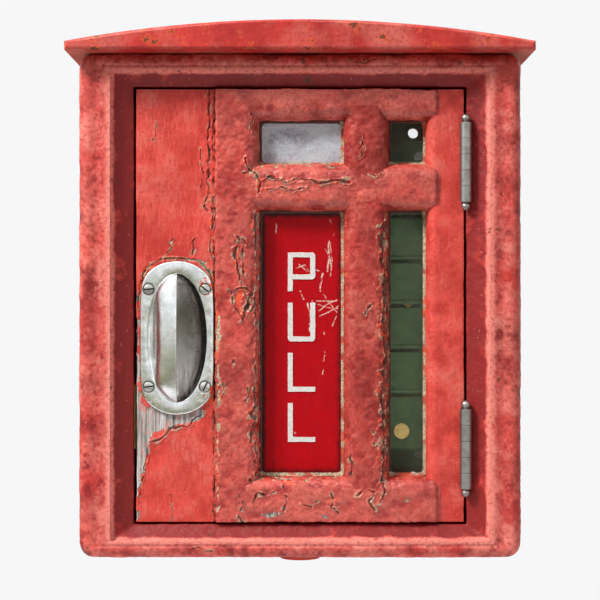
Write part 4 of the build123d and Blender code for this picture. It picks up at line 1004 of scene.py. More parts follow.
STILE_CRACKS = (
    Crack(((-72.5, 174), (-73.6, 134), (-72.6, 117), (-74.6, 101), (-73.2, 91), (-76.5, 81), (-74.6, 76)),
          0.7, 1.1),
    Crack(((-79.6, 126), (-79.8, 115), (-77.8, 105), (-78.4, 95)), 0.4, 0.5, 0.4),
    Crack(((-70.4, 90), (-71.2, 60), (-72.5, 46), (-70.0, 38)), 0.45, 0.6, 0.4),
    Crack(((-69.3, 174), (-69.3, -174)), 0.45, 0.5, 0.1),
    Crack(((-79.0, -88), (-85.0, -91), (-90.0, -97), (-104.0, -99), (-111.0, -107), (-121.0, -110)), 0.6,
          0.6, 0.7),
    Crack(((-121.0, -110), (-123.5, -122), (-127.0, -143), (-129.5, -160)), 0.45, 0.4, 0.6),
    Crack(round_pull(2.2)[1:16], 0.45, 0.6, 0.5),
    Crack(((-107.0, 42), (-103.0, 46), (-105.0, 50), (-102.0, 54)), 0.4, 0.5, 0.5),
    Crack(((-88.0, 41), (-84.5, 45), (-86.5, 51), (-83.0, 55)), 0.4, 0.5, 0.5),
    Crack(((-117.0, 150), (-116.0, 141), (-118.0, 133)), 0.3, 0.3, 0.4),
    Crack(((-104.0, -174), (-103.4, -160), (-104.2, -152)), 0.3, 0.3, 0.4),
)
BAR_FLAKES = (
    Flake(-48.5, 2.5, 7.0, 10.0, 1.45),
    Flake(-45.0, 11.5, 8.0, 4.0, 1.2),
    Flake(-46.0, -7.0, 3.5, 6.0, 1.1),
    Flake(-40.5, 9.0, 2.6, 4.0, 1.1, Shows.CREAM),
    Flake(-39.0, 102, 5.0, 8.0, 0.8),
    Flake(-36.0, 96, 4.0, 5.0, 0.75, Shows.CREAM),
    Flake(-38.8, -94, 3.2, 10.0, 0.85, Shows.CREAM),
    Flake(-38.0, -104, 3.2, 6.0, 0.8),
    Flake(-44.0, -69, 3.0, 4.0, 0.75),
    Flake(-65.0, -20, 2.6, 8, 0.95, Shows.CREAM),
    Flake(-64.5, -34, 2.6, 9, 0.9),
    Flake(-36.5, -150, 5.0, 6.0, 0.7, Shows.CREAM),
    Seam(((-67.5, -5), (-66.0, -60), (-67.0, -120), (-66.0, -174)), 2.6, 1.05),
    Seam(((-65.5, -10), (-66.5, -90), (-65.5, -165)), 2.2, 0.90, Shows.CREAM),
    Seam(((-65.0, -14), (-64.2, -50), (-65.0, -96)), 3.0, 0.30, Shows.CREAM),
    Seam(((-35.0, 76), (-35.6, 0), (-34.8, -138)), 1.5, 0.84, Shows.CREAM),
    Seam(((-34.0, 76), (-34.4, 0), (-34.0, -138)), 1.6, 0.88),
    Seam(((-68.0, 60), (-67.0, 30), (-68.0, 0)), 1.8, 0.9),
)
BAR_CRACKS = (
    Crack(((-54.5, 57), (-50.0, 55), (-46.0, 50), (-42.5, 48.5), (-45.5, 54)), 0.55, 0.7, 0.6),
    Crack(((-50.5, 50), (-51.5, 38), (-49.5, 28), (-47.8, 20), (-46.0, 14)), 0.7, 0.9, 0.7),
    Crack(((-45.5, 48), (-46.0, 36), (-44.5, 26), (-44.0, 18)), 0.5, 0.6, 0.5),
    Crack(((-56.0, 12), (-50.0, 14.5), (-43.0, 13.5), (-38.0, 11)), 0.6, 0.8, 0.6),
    Crack(((-54.5, 12), (-53.0, 2), (-49.0, -7), (-46.5, -12)), 0.55, 0.7, 0.5),
    Crack(((-38.5, 11), (-41.5, 4), (-43.5, -4), (-46.0, -12)), 1.0, 1.0, 0.5),
    Crack(((-37.5, 14), (-36.5, 2), (-39.5, -4)), 0.6, 0.7, 0.4),
    Crack(((-44.0, 10), (-41.5, 3), (-43.0, -3)), 0.7, 0.7, 0.3),
    Crack(((-53.0, -44), (-51.5, -48), (-48.8, -47)), 0.4, 0.5, 0.5),
    Crack(((-37.5, -82), (-39.5, -87), (-36.0, -93), (-40.5, -101), (-38.5, -110)), 0.8, 0.8, 0.6),
    Crack(((-42.5, -66), (-40.5, -70), (-43.0, -76)), 0.45, 0.5, 0.5),
    Crack(((-44.5, 118), (-40.5, 109), (-35.0, 106), (-32.0, 98)), 0.7, 0.9, 0.6),
    Crack(((-46.0, 106), (-41.0, 103), (-36.0, 100), (-38.0, 92)), 0.55, 0.7, 0.6),
    Crack(((-40.0, 174), (-38.5, 150), (-40.0, 140)), 0.4, 0.5, 0.4),
    Crack(((-50.0, -152), (-46.0, -160), (-50.0, -168), (-47.0, -174)), 0.5, 0.6, 0.5),
    Crack(((-41.0, -140), (-36.0, -148), (-33.0, -153)), 0.6, 0.8, 0.6),
    Crack(((-62.0, -62), (-60.5, -70), (-62.5, -78)), 0.35, 0.4, 0.5),
    Crack(((-68.7, 174), (-68.7, -174)), 0.4, 0.4, 0.1),
    Crack(((-36.0, 76), (-35.0, 40), (-36.4, 10), (-35.2, -30), (-36.2, -70), (-35.2, -138)), 0.5, 0.6, 0.8),
)
RAIL_CRACKS = (
    Crack(((-30.5, 100.5), (-24.0, 103), (-18.0, 101.5), (-10.0, 98.5), (-2.0, 101.5), (8.0, 101.0),
           (16.0, 98.5), (26.0, 100.5), (40.0, 99.0)), 0.7, 0.55, 1.0),
    Crack(((-26.0, 93), (-16.0, 95.5), (-6.0, 92.5), (4.0, 94.0)), 0.5, 0.35, 0.7),
    Crack(((-40.5, 109), (-35.0, 106), (-32.0, 98), (-34.5, 90)), 0.65, 0.9, 0.6),
    Crack(((52.0, 112), (60.0, 104), (66.0, 106)), 0.45, 0.5, 0.5),
    Crack(((-38.0, -158), (-34.5, -150), (-28.0, -153), (-20.0, -149)), 0.5, 0.7, 0.6),
    Crack(((-13.0, -146), (-11.5, -156), (-12.5, -166)), 0.55, 0.7, 0.5),
    Crack(((24.0, -150), (28.0, -156), (25.0, -162), (31.0, -166)), 0.6, 0.8, 0.6),
    Crack(((47.0, -152), (52.0, -147), (60.0, -150), (56.0, -158), (60.0, -165)), 0.6, 0.8, 0.6),
    Crack(((66.0, -140), (68.0, -150), (64.0, -158)), 0.6, 0.8, 0.5),
    Crack(((2.0, -160), (9.0, -162), (14.0, -158)), 0.4, 0.5, 0.5),
)
RAIL_FLAKES = (
    Flake(26.5, -155, 6.0, 4.5, 1.15),
    Flake(58.0, -157, 5.0, 6.0, 0.9),
    Flake(50.0, -146, 8.0, 4.0, 0.8),
    Flake(-36.0, 101, 6.0, 8.0, 0.82),
    Flake(-24.0, -168, 14.0, 4.0, 0.95, Shows.TIMBER),
    Flake(8.0, -152, 12.0, 3.0, 0.86, Shows.CREAM),
    Flake(20.0, -169, 16.0, 3.5, 0.95, Shows.TIMBER),
    Flake(52.0, -168, 12.0, 4.0, 0.90, Shows.CREAM),
    Flake(-8.0, -144, 10.0, 2.5, 0.85),
    Flake(84.0, -158, 10.0, 10.0, 0.70, Shows.CREAM),
    Flake(-12.0, -158, 3.0, 6.0, 0.7, Shows.CREAM),
    Seam(((-33.0, -139.5), (35.0, -139.5)), 1.8, 0.95, Shows.CREAM),
    Seam(((-33.0, -141.5), (35.0, -141.5)), 2.6, 0.62),
    Seam(((-33.0, 112.8), (35.0, 112.8)), 1.8, 0.85, Shows.CREAM),
)
MIDDLE_FLAKES = (
    Seam(((70.0, 70), (69.0, 20), (70.0, -40), (69.0, -140)), 3.0, 1.02),
    Seam(((70.6, 60), (70.2, 0), (70.8, -120)), 1.6, 0.86, Shows.CREAM),
    Seam(((71.5, 50), (71.0, -20), (71.5, -130)), 1.6, 0.8, Shows.TIMBER),
    Seam(((36.2, 70), (37.2, -30), (36.5, -138)), 2.4, 0.92),
    Seam(((35.2, 70), (35.6, -20), (35.2, -138)), 1.5, 0.85, Shows.CREAM),
    Flake(69.0, 132, 3.0, 20, 0.8),
)
MIDDLE_CRACKS = (
    Crack(((59.5, 3), (56.0, -2), (52.5, -7)), 0.5, 0.7, 0.6),
    Crack(((63.0, -2), (66.5, -9), (64.0, -17)), 0.5, 0.6, 0.6),
    Crack(((67.5, 66), (66.2, 40), (68.2, 16), (66.6, -10), (68.4, -44), (66.4, -76), (68.0, -112),
           (66.0, -140)),
          1.2, 1.1, 0.8),
    Crack(((70.2, 76), (70.8, 30), (69.8, -12), (70.6, -60), (70.0, -138)), 0.9, 0.9, 0.4),
    Crack(((40.5, -120), (43.0, -128), (40.0, -137)), 0.45, 0.5, 0.5),
    Crack(((47.0, 118), (52.0, 126), (50.0, 136)), 0.4, 0.5, 0.5),
    Crack(((58.0, -100), (61.5, -105), (60.0, -112)), 0.4, 0.5, 0.5),
)


class TimberDoor(Assembly):
    """The door's joinery under old paint: two stiles, the glazing bars and three rails."""

    body = "door"
    sizes = DoorSizes()

    def build(self, knuckles: Knuckles) -> None:
        """Makes every timber member of the door."""
        self.lock_stile()
        self.left_bar()
        self.middle_bar()
        self.rails()
        self.hinge_stile(knuckles)

    def lock_stile(self) -> None:
        """The flat board with the pull: its pocket is a half ball stretched to the cup's size."""
        room, cup = Room.of("lock_stile"), Room.of("finger_cup")
        (left, right), (back, front) = room.x, room.depth
        board = ((left, back), (left, front), (right, front), (right, back))
        section = Section(board, (0, 1.2, 0, 0), 122, 0.7)
        centre_x, centre_z = cup.middle
        half_x, half_z = (cup.x[1] - cup.x[0]) / 2 + 1.2, (cup.z[1] - cup.z[0]) / 2 + 1.2
        deep = cup.depth[1] - cup.depth[0] + 1.6

        def pocket(x: Array, depth: Array, z: Array) -> tuple[Array, Array, Array]:
            """Sinks the face where the cup sits."""
            reach = 1 - ((x - centre_x) / half_x) ** 2 - ((z - centre_z) / half_z) ** 2
            sunk = front - deep * np.sqrt(np.clip(reach, 0, 1))
            return x, np.where((reach > 0) & (depth > front - 3), np.minimum(depth, sunk), depth), z

        weather = Weather(0.16, 15, 0.09, (1.6, 2.0, 5.0), 1.05, 0.12, 41, STILE_FLAKES, STILE_CRACKS)
        piece = self.carry("lock_stile_timber", section, stations(*room.z, 0.73), True, weather, pocket)
        self.place(piece, self.finishes.timber_paint, "red_paint_timber", "lock_stile")

    def left_bar(self) -> None:
        """The thick rounded bar beside the pull plate."""
        s, room = self.sizes, Room.of("left_glazing_bar")
        (left, right), (back, front) = room.x, room.depth
        corners = ((left, back), (left, front), (right, front), (right, s.pane_front),
                   (right - s.rebate, s.pane_front), (right - s.rebate, back))
        section = Section(corners, (0, 3.2, s.ovolo, 0, 0, 0), 122, s.fine)
        weather = Weather(0.50, 8, 0.24, 2.7, 1.0, 0.45, 41, BAR_FLAKES, BAR_CRACKS)
        piece = self.carry("left_bar_timber", section, stations(*room.z, s.fine), True, weather)
        self.place(piece, self.finishes.bar_paint, "red_paint_timber", "left_glazing_bar")

    def middle_bar(self) -> None:
        """Two lengths of bar, rounded on both sides, one below the cross rail and one above it."""
        s, room, cross = self.sizes, Room.of("middle_glazing_bar"), Room.of("cross_rail")
        (left, right), (back, front) = room.x, room.depth
        corners = ((left + s.rebate, back), (left + s.rebate, s.pane_front), (left, s.pane_front),
                   (left, front),
                   (right, front), (right, s.pane_front), (right - s.rebate, s.pane_front),
                   (right - s.rebate, back))
        section = Section(corners, (0, 0, 0, s.ovolo, s.ovolo, 0, 0, 0), 122, s.fine)
        weather = Weather(0.45, 8, 0.24, 2.7, 1.0, 0.42, 41, MIDDLE_FLAKES, MIDDLE_CRACKS)
        spans = ((room.z[0], cross.z[0] + s.ovolo), (cross.z[1] - s.ovolo, room.z[1]))
        for label, span in zip(("lower", "upper"), spans):
            name = f"middle_bar_{label}"
            piece = self.carry(name, section, stations(*span, s.fine), True, weather)
            nodes = ("middle_glazing_bar",) if label == "lower" else ()
            self.place(piece, self.finishes.shaded_paint, "red_paint_timber", *nodes)

    def rails(self) -> None:
        """The bottom, cross and top rails, round at their openings and eased down to the hinge stile."""
        s = self.sizes
        for node, round_low, round_high in (
            ("bottom_rail", False, True), ("cross_rail", True, True), ("top_rail", True, False)
        ):
            room = Room.of(node)
            (low, high), (back, front) = room.z, room.depth
            corners = [(low, front), (high, front)]
            radii = [s.ovolo if round_low else 1.0, s.ovolo if round_high else 1.0]
            after = [(high, s.pane_front), (high - s.rebate, s.pane_front), (high - s.rebate, back)]
            before = [(low + s.rebate, back), (low + s.rebate, s.pane_front), (low, s.pane_front)]
            after = after if round_high else [(high, back)]
            before = before if round_low else [(low, back)]
            outline = (*before, *corners, *after)
            bends = (*([0.0] * len(before)), *radii, *([0.0] * len(after)))
            section = Section(outline, bends, 122, s.fine)
            end = room.x[1]

            def run_out(x: Array, depth: Array, z: Array) -> tuple[Array, Array, Array]:
                """Eases the rail's front down to the hinge stile."""
                return x, depth - 2.8 * ease(x, end - 5, end) * ease(depth, 130, 138), z

            weather = Weather(0.55, (13, 9, 8), 0.25, 2.8, 1.0, 0.75, 41, RAIL_FLAKES, RAIL_CRACKS)
            piece = self.carry(f"{node}_timber", section, stations(*room.x, s.fine), False, weather, run_out)
            self.place(piece, self.finishes.bar_paint, "red_paint_timber", node)

    def hinge_stile(self, knuckles: Knuckles) -> None:
        """The narrow stile at the hinges, scooped out for their knuckles."""
        s, room = self.sizes, Room.of("hinge_stile")
        (left, right), (back, front) = room.x, room.depth
        corners = ((left + s.rebate, back), (left + s.rebate, s.pane_front), (left, s.pane_front),
                   (left, front),
                   (right, front), (right, back))
        section = Section(corners, (0, 0, 0, s.hinge_ovolo, 0.8, 0), 108, 0.8)
        weather = Weather(0.22, 14, 0.11, 2.4, 1.0, 0.22, 47)
        change = knuckles.scoop(-1.0, room.x[1] - 2.1)
        piece = self.carry("hinge_stile_timber", section, stations(*room.z, 0.9), True, weather, change)
        self.place(piece, self.finishes.timber_paint, "red_paint_timber", "hinge_stile")


# --- surfaces -------------------------------------------------------------------------------
@dataclass
class Skin:
    """A grid of points in millimetres, as (x, minus depth, z), open or closed along rows and columns."""

    points: Array
    close_rows: bool = False
    close_columns: bool = True

    @classmethod
    def of(cls, x: Array, depth: Array, z: Array, close_rows: bool = False,
           close_columns: bool = True) -> "Skin":
        """Makes a skin from three grids of the same shape, or ones that spread to it."""
        return cls(np.stack(np.broadcast_arrays(x, -depth, z), -1), close_rows, close_columns)

    @property
    def parts(self) -> tuple[Array, Array, Array]:
        """The grids of x, depth and z."""
        return self.points[..., 0], -self.points[..., 1], self.points[..., 2]

    def slope(self, axis: int, closed: bool) -> Array:
        """The difference between the neighbours on each side of every point."""
        if closed:
            return np.roll(self.points, -1, axis) - np.roll(self.points, 1, axis)
        return np.gradient(self.points, axis=axis)

    def normals(self) -> Array:
        """Unit normals: the cross product of the slopes along the columns and along the rows."""
        across = np.cross(self.slope(1, self.close_columns), self.slope(0, self.close_rows))
        return across / np.maximum(np.linalg.norm(across, axis=-1, keepdims=True), 1e-9)

    def raised(self, height: Array) -> "Skin":
        """The skin moved out along its normals."""
        return Skin(self.points + self.normals() * height[..., None], self.close_rows, self.close_columns)

    def build(
        self, name: str, smooth: float = 40.0, cap_first: bool = False, cap_last: bool = False
    ) -> bpy.types.Object:
        """Makes the object, with a flat cap over the first or the last row where it is asked for."""
        rows, columns = self.points.shape[:2]
        quads = quads_of_grid(rows, columns, self.close_rows, self.close_columns)
        caps = []
        if cap_first:
            caps.append(np.arange(columns)[::-1])
        if cap_last:
            caps.append(np.arange(columns) + (rows - 1) * columns)
        return new_mesh(name, self.points.reshape(-1, 3) * MM, quads, caps, smooth)


@dataclass(frozen=True)
class Loop:
    """A way round a rounded rectangle, anticlockwise from the right side's foot.

    A point is the inner rectangle's point, pushed out by the corner radius along a direction that turns a
    quarter at each corner and stands still along each side.
    """

    pitch: float
    corner_steps: int = 9

    def parameters(self, half_x: float, half_z: float) -> tuple[Array, Array, Array]:
        """Works out the way round once, for all rows of a skin.

        Returns:
            The shares of the inner rectangle's half sides in x and z, and the direction's angle.
        """
        share_x, share_z, angle = [], [], []
        for turn, (sx, sz, length) in enumerate(
            ((1, -1, half_z), (1, 1, half_x), (-1, 1, half_z), (-1, -1, half_x))
        ):
            count = max(2, int(2 * length / self.pitch))
            run = np.linspace(-1, 1, count, endpoint=False)[1:]
            heading = turn * math.pi / 2
            bend = heading + np.linspace(-0.5, 0.0, self.corner_steps) * math.pi
            bend = np.clip(bend, heading - math.pi / 2, heading)
            share_x.append(np.full(self.corner_steps, sx))
            share_z.append(np.full(self.corner_steps, sz))
            angle.append(bend)
            side_x = {0: np.ones_like(run), 1: -run, 2: -np.ones_like(run), 3: run}[turn]
            side_z = {0: run, 1: np.ones_like(run), 2: -run, 3: -np.ones_like(run)}[turn]
            share_x.append(side_x)
            share_z.append(side_z)
            angle.append(np.full(len(run), heading))
        return np.concatenate(share_x), np.concatenate(share_z), np.concatenate(angle)

    def skin(self, rows: Sequence[tuple[float, float, float, float]], centre: Point = (0.0, 0.0)) -> Skin:
        """Carries rows of (half x, half z, corner radius, depth) round the rectangle."""
        table = np.array(rows, float)
        share_x, share_z, angle = self.parameters(*table[0, :2])
        half_x, half_z, radius, depth = (table[:, k : k + 1] for k in range(4))
        x = share_x * (half_x - radius) + radius * np.cos(angle) + centre[0]
        z = share_z * (half_z - radius) + radius * np.sin(angle) + centre[1]
        return Skin.of(x, depth, z)


def arc(start: float, end: float, steps: int) -> tuple[Array, Array]:
    """Cosines and sines of evenly spaced angles, given in degrees."""
    angle = np.radians(np.linspace(start, end, steps))
    return np.cos(angle), np.sin(angle)


# --- case -----------------------------------------------------------------------------------
@dataclass
class IronFrame(Assembly):
    """The cast frame round the door: rounded crown, a ridge with a painted highlight, a slope to the door in
    painted shade, and the reveal.
    """

    finishes: Finishes
    crown: float = 8.0
    ridge: Point = (151.5, 188.0)
    reveal: Point = (134.0, 176.0)
    slope_foot: float = 138.0
    pitch: float = 1.55

    def section(self, room: Room) -> list[tuple[float, float, float, float]]:
        """Rows from the outer back edge, over the crown and ridge, down the slope and the reveal."""
        half_x, half_z = room.x[1], room.z[1]
        back, front = room.depth
        outer_corner = 12.0
        rows = [(half_x, half_z, outer_corner, d) for d in np.linspace(back, front - self.crown, 22)]
        for c, s in zip(*arc(6, 90, 13)):
            inset = self.crown * (1 - c)
            rows.append((half_x - inset, half_z - inset, outer_corner - inset * 0.7,
                         front - self.crown * (1 - s)))
        flat_x, flat_z = half_x - self.crown, half_z - self.crown
        bead = 1.6
        for t in np.linspace(0, 1, 16)[1:]:
            x = flat_x + (self.ridge[0] + bead - flat_x) * t
            z = flat_z + (self.ridge[1] + bead * 0.7 - flat_z) * t
            rows.append((x, z, 6.4 - 3.0 * t, front - 0.9 * math.sin(math.pi * min(1.0, t * 1.15)) ** 2))
        for c, s in zip(*arc(80, -10, 6)):
            rows.append((self.ridge[0] + bead * c, self.ridge[1] + bead * c * 0.7, 3.2,
                         front - bead * (1 - s)))
        foot_x, foot_z = self.reveal[0] + 1.2, self.reveal[1] + 0.9
        start_x, start_z, _, start_d = rows[-1]
        for t in np.linspace(0, 1, 18)[1:]:
            x, z = start_x + (foot_x - start_x) * t, start_z + (foot_z - start_z) * t
            rows.append((x, z, 3.0 - 1.2 * t,
                         start_d + (self.slope_foot - start_d) * t - 0.8 * math.sin(math.pi * t)))
        rows.append((self.reveal[0] + 0.3, self.reveal[1] + 0.3, 1.2, self.slope_foot - 0.5))
        deep_rows = np.linspace(self.slope_foot - 1.6, back, 22)
        rows += [(self.reveal[0], self.reveal[1], 1.0, d) for d in deep_rows]
        return rows

    def build(self, knuckles: Knuckles) -> None:
        """Carries the section round the door, ages it, and paints a highlight along the ridge and shade down
        the slope.
        """
        room = Room.of("front_frame")
        skin = Loop(self.pitch).skin(self.section(room))
        skin.close_rows = True
        x, depth, z = skin.parts
        flakes = (Flake(-161.0, -44, 3.0, 6.0, 0.7), Flake(-152.0, 60, 1.5, 30, 0.4),
                  Flake(161, 90, 5, 9, 0.6))
        cracks = (
            Crack(((-166.0, -48), (-163.0, -46), (-160.0, -43), (-156.5, -41)), 0.4, 0.5, 0.4),
            Crack(((164.0, 84), (160.0, 92), (163.0, 101)), 0.4, 0.5, 0.4),
            Crack(((40.0, 196), (52.0, 194), (61.0, 197)), 0.4, 0.5, 0.4),
            Crack(((-84.0, -193), (-70.0, -196), (-61.0, -192)), 0.4, 0.5, 0.4),
        )
        weather = Weather(0.28, 12, 0.15, 2.6, 1.0, 0.34, 67, flakes, cracks)
        height, masks = weather.age(x, depth, z)
        to_ridge = np.maximum(np.abs(x) - self.ridge[0], np.abs(z) - self.ridge[1]) - 0.6
        # Painted light: the band along the ridge is paled as a highlight along with chalky wear, and the
        # slope below it is deepened and kept from chalking as painted shade.
        worn = np.exp(-((to_ridge / 3.0) ** 2)) * ease(depth, 140, 146)
        slope = 1 - ease(to_ridge, -4.5, -1.5)
        masks["tone"] = np.clip(masks["tone"] * (1 - 0.9 * slope) + 0.8 * worn, 0.0, 1.0)
        masks["relief"] = np.clip(masks["relief"] + 1.2 * worn - 1.1 * slope, -1.0, 1.0)
        skin = skin.raised(height * ease(depth, 102, 108))
        skin = Skin.of(*knuckles.scoop(1.0, self.reveal[0] + 2.05)(*skin.parts), close_rows=True)
        piece = skin.build("front_frame_casting")
        dress_attributes(piece, masks)
        self.place(piece, self.finishes.iron_paint, "red_paint_iron", "front_frame")


# --- pull plate -----------------------------------------------------------------------------
SCRATCHES = (
    Crack(((-19.1, 66.3), (-19.1, 59.2)), 0.45, 0.3),
    Crack(((23.3, 52.2), (23.6, 42.0), (22.3, 27.9)), 0.7, 0.3),
    Crack(((20.3, 46.0), (24.0, 40.0), (25.3, 32.0)), 0.5, 0.3),
    Crack(((18.3, 26.0), (16.2, 11.8)), 0.6, 0.3),
    Crack(((24.8, 51.0), (26.3, 37.0), (25.0, 24.0)), 0.35, 0.3),
    Crack(((10.2, 30.0), (16.2, 28.0)), 0.4, 0.3),
    Crack(((13.2, 3.7), (30.4, 3.7)), 0.45, 0.3),
    Crack(((16.2, -8.5), (24.0, -5.0), (31.4, -0.4)), 0.45, 0.3),
    Crack(((15.2, -4.4), (23.0, 1.5), (30.4, 4.7)), 0.4, 0.3),
    Crack(((19.0, 9.0), (24.0, 2.0), (30.0, -5.5)), 0.35, 0.3),
    Crack(((14.5, 1.0), (22.0, -1.5), (31.0, -2.5)), 0.3, 0.3),
    Crack(((26.4, -16.5), (29.4, -8.5)), 0.45, 0.3),
    Crack(((6.1, 1.7), (8.6, -9.0), (8.2, -20.6)), 0.75, 0.3),
    Crack(((9.5, 4.0), (11.0, -8.0), (10.2, -17.0)), 0.35, 0.3),
    Crack(((0.1, 11.8), (3.1, 4.7)), 0.5, 0.3),
    Crack(((-3.0, 30.5), (3.5, 33.0), (7.5, 28.0)), 0.4, 0.3),
    Crack(((-1.0, 33.5), (6.0, 27.5)), 0.35, 0.3),
)
DOTTED = (
    Crack(((19.3, -20.6), (20.2, -38.0), (18.3, -57.0)), 0.4, 0.3),
    Crack(((-13.0, -96.0), (-4.0, -104.0)), 0.35, 0.3),
    Crack(((24.0, 70.0), (28.0, 62.0), (27.0, 55.0)), 0.3, 0.3),
)


@dataclass
class PullPlate(Assembly):
    """The enamelled plate behind its letters, hollowed a little by age and scratched near the letters."""

    finishes: Finishes
    body = "door"
    pitch: float = 0.48

    def build(self) -> None:
        """Makes a fine front whose edge mask of painted shade grows towards the opening, with narrow sides
        and a flat back.
        """
        room = Room.of("pull_plate")
        x = stations(*room.x, self.pitch)[None, :]
        z = stations(*room.z, self.pitch)[:, None]
        x, z = np.broadcast_arrays(x, z)
        places = np.stack([x, np.zeros_like(x), z], -1).reshape(-1, 3)
        wander = cloud(places, 4.0, 3, 5).reshape(x.shape)
        scratch = np.zeros_like(x)
        for line in SCRATCHES:
            away = distance_to_path(x + 0.5 * wander, z, line.path)
            scratch = np.maximum(scratch, 1 - ease(away, line.width * 0.45, line.width * 1.1))
        broken = ease(cloud(places, (9.0, 9.0, 2.6), 2, 19).reshape(x.shape), -0.1, 0.35)
        for line in DOTTED:
            away = distance_to_path(x + 0.4 * wander, z, line.path)
            scratch = np.maximum(scratch, broken * (1 - ease(away, line.width * 0.5, line.width * 1.2)))
        torn = cloud(places, 1.1, 3, 23).reshape(x.shape)
        scratch = scratch * ease(torn, -0.75, 0.1)
        opening = Opening.pull()
        # Painted shade: darker within a few millimetres of every edge of the opening, and a stronger painted
        # shadow along its top and left.
        near = np.minimum.reduce([x - opening.x[0], opening.x[1] - x, z - opening.z[0], opening.z[1] - z])
        edge = 1 - ease(near + 0.9 * wander, 0.8, 8.0)
        top_left = np.minimum(x - opening.x[0], opening.z[1] - z)
        edge = np.maximum(edge * 0.85, 1 - ease(top_left + 0.6 * wander, 2.6, 7.0))
        depth = room.depth[1] - 0.12 * scratch - 0.10 * (cloud(places, 30.0, 2, 29).reshape(x.shape) + 1) / 2
        rim = rim_of_grid(*x.shape)
        behind = np.arange(len(rim)) + x.size
        sides = np.stack([np.roll(rim, -1), rim, behind, np.roll(behind, -1)], -1)
        front = to_metres(x, depth, z)
        back = front[rim] * (1, 0, 1) - (0, room.depth[0] * MM, 0)
        quads = np.concatenate([quads_of_grid(*x.shape, False, False), sides])
        piece = new_mesh("pull_plate_enamel", np.concatenate([front, back]), quads, (behind[::-1],))
        for name, mask in (("scratch", scratch), ("edge", edge)):
            paint_attribute(piece, name, np.append(np.clip(mask, 0, 1), np.zeros(len(rim))))
        self.place(piece, self.finishes.plate, "dark_red_plate", "pull_plate")


@dataclass
class PlateLetters(Assembly):
    """The painted block letters: flat strokes along a path, rounded where the brush went round a corner."""

    finishes: Finishes
    body = "door"
    letters: str = "PULL"
    stroke: float = 4.0
    height: float = 31.6
    waist: float = 0.37
    outer_bend: float = 2.9
    inner_bend: float = 0.9
    crisp: float = 0.25
    wobble: float = 0.14

    def build(self) -> None:
        """Makes one piece for each letter, at an even pitch down the space of the CAD letters."""
        room = Room.of("pull_letters")
        pitch = (room.z[1] - room.z[0] - self.height) / (len(self.letters) - 1)
        for number, letter in enumerate(self.letters):
            corners, bent = self.path(letter, room.x, room.z[1] - number * pitch)
            sides = [self.edge(corners, bent, side) for side in (1.0, -1.0)]
            places = np.stack([sides[0], sides[1], sides[1], sides[0]], 1)
            flat = np.stack([places[..., 0], places[..., 0] * 0, places[..., 1]], -1).reshape(-1, 3)
            x = places[..., 0] + self.wobble * cloud(flat, 4.0, 2, 109).reshape(places.shape[:2])
            z = places[..., 1] + self.wobble * cloud(flat, 4.0, 2, 113).reshape(places.shape[:2])
            depth = np.repeat([[room.depth[1], room.depth[1], room.depth[0] - 0.2, room.depth[0] - 0.2]],
                              len(x), 0)
            depth[-1, :2] -= 0.06
            piece = Skin.of(x, depth, z).build(f"pull_letter_{number + 1}", cap_first=True, cap_last=True)
            self.place(piece, self.finishes.letters, "letter_paint",
                       *(("pull_letters",) if number == 0 else ()))

    def path(self, letter: str, across: Point, top: float) -> tuple[list[Point], tuple[bool, ...]]:
        """A letter's centre line, and which of its corners the brush went round."""
        half = self.stroke / 2
        left, right, low = across[0] + half, across[1] - half, top - self.height
        if letter == "P":
            waist = low + self.waist * self.height
            line = [(left, low), (left, top - half), (right, top - half), (right, waist),
                    (left + half - 0.5, waist)]
            return line, (False, True, True)
        if letter == "U":
            return [(left, top), (left, low + half), (right, low + half), (right, top)], (True, True)
        return [(left, top), (left, low + half), (right + half, low + half)], (False,)

    def edge(self, corners: list[Point], bent: tuple[bool, ...], side: float) -> Array:
        """One edge of a stroke: the centre line moved to its left or right, with an arc at each square
        corner.

        With d0 and d1 the ways in and out of a corner, the arc is centre + r (d0 sin t - d1 cos t), t from 0
        to 90.
        """
        line = np.array(corners)
        ways = np.diff(line, axis=0)
        lengths = np.linalg.norm(ways, axis=1)
        ways = ways / lengths[:, None]
        out = np.stack([-ways[:, 1], ways[:, 0]], 1) * side * self.stroke / 2
        turn = np.linspace(0, math.pi / 2, 9)[:, None]
        runs = [(line[0] + out[0])[None, :]]
        for number, brushed in enumerate(bent):
            way_in, way_out = ways[number], ways[number + 1]
            outside = side * (way_in[0] * way_out[1] - way_in[1] * way_out[0]) < 0
            radius = (self.outer_bend if outside else self.inner_bend) if brushed else self.crisp
            corner = line[number + 1] + out[number] + out[number + 1]
            middle = corner + radius * (way_out - way_in)
            runs.append(middle + radius * (np.sin(turn) * way_in - np.cos(turn) * way_out))
        runs.append((line[-1] + out[-1])[None, :])
        filled = [runs[0]]
        for number, (before, after) in enumerate(zip(runs, runs[1:])):
            share = np.linspace(0, 1, max(3, int(lengths[number])))[1:-1, None]
            filled += [before[-1] + (after[0] - before[-1]) * share, after]
        return np.concatenate(filled)


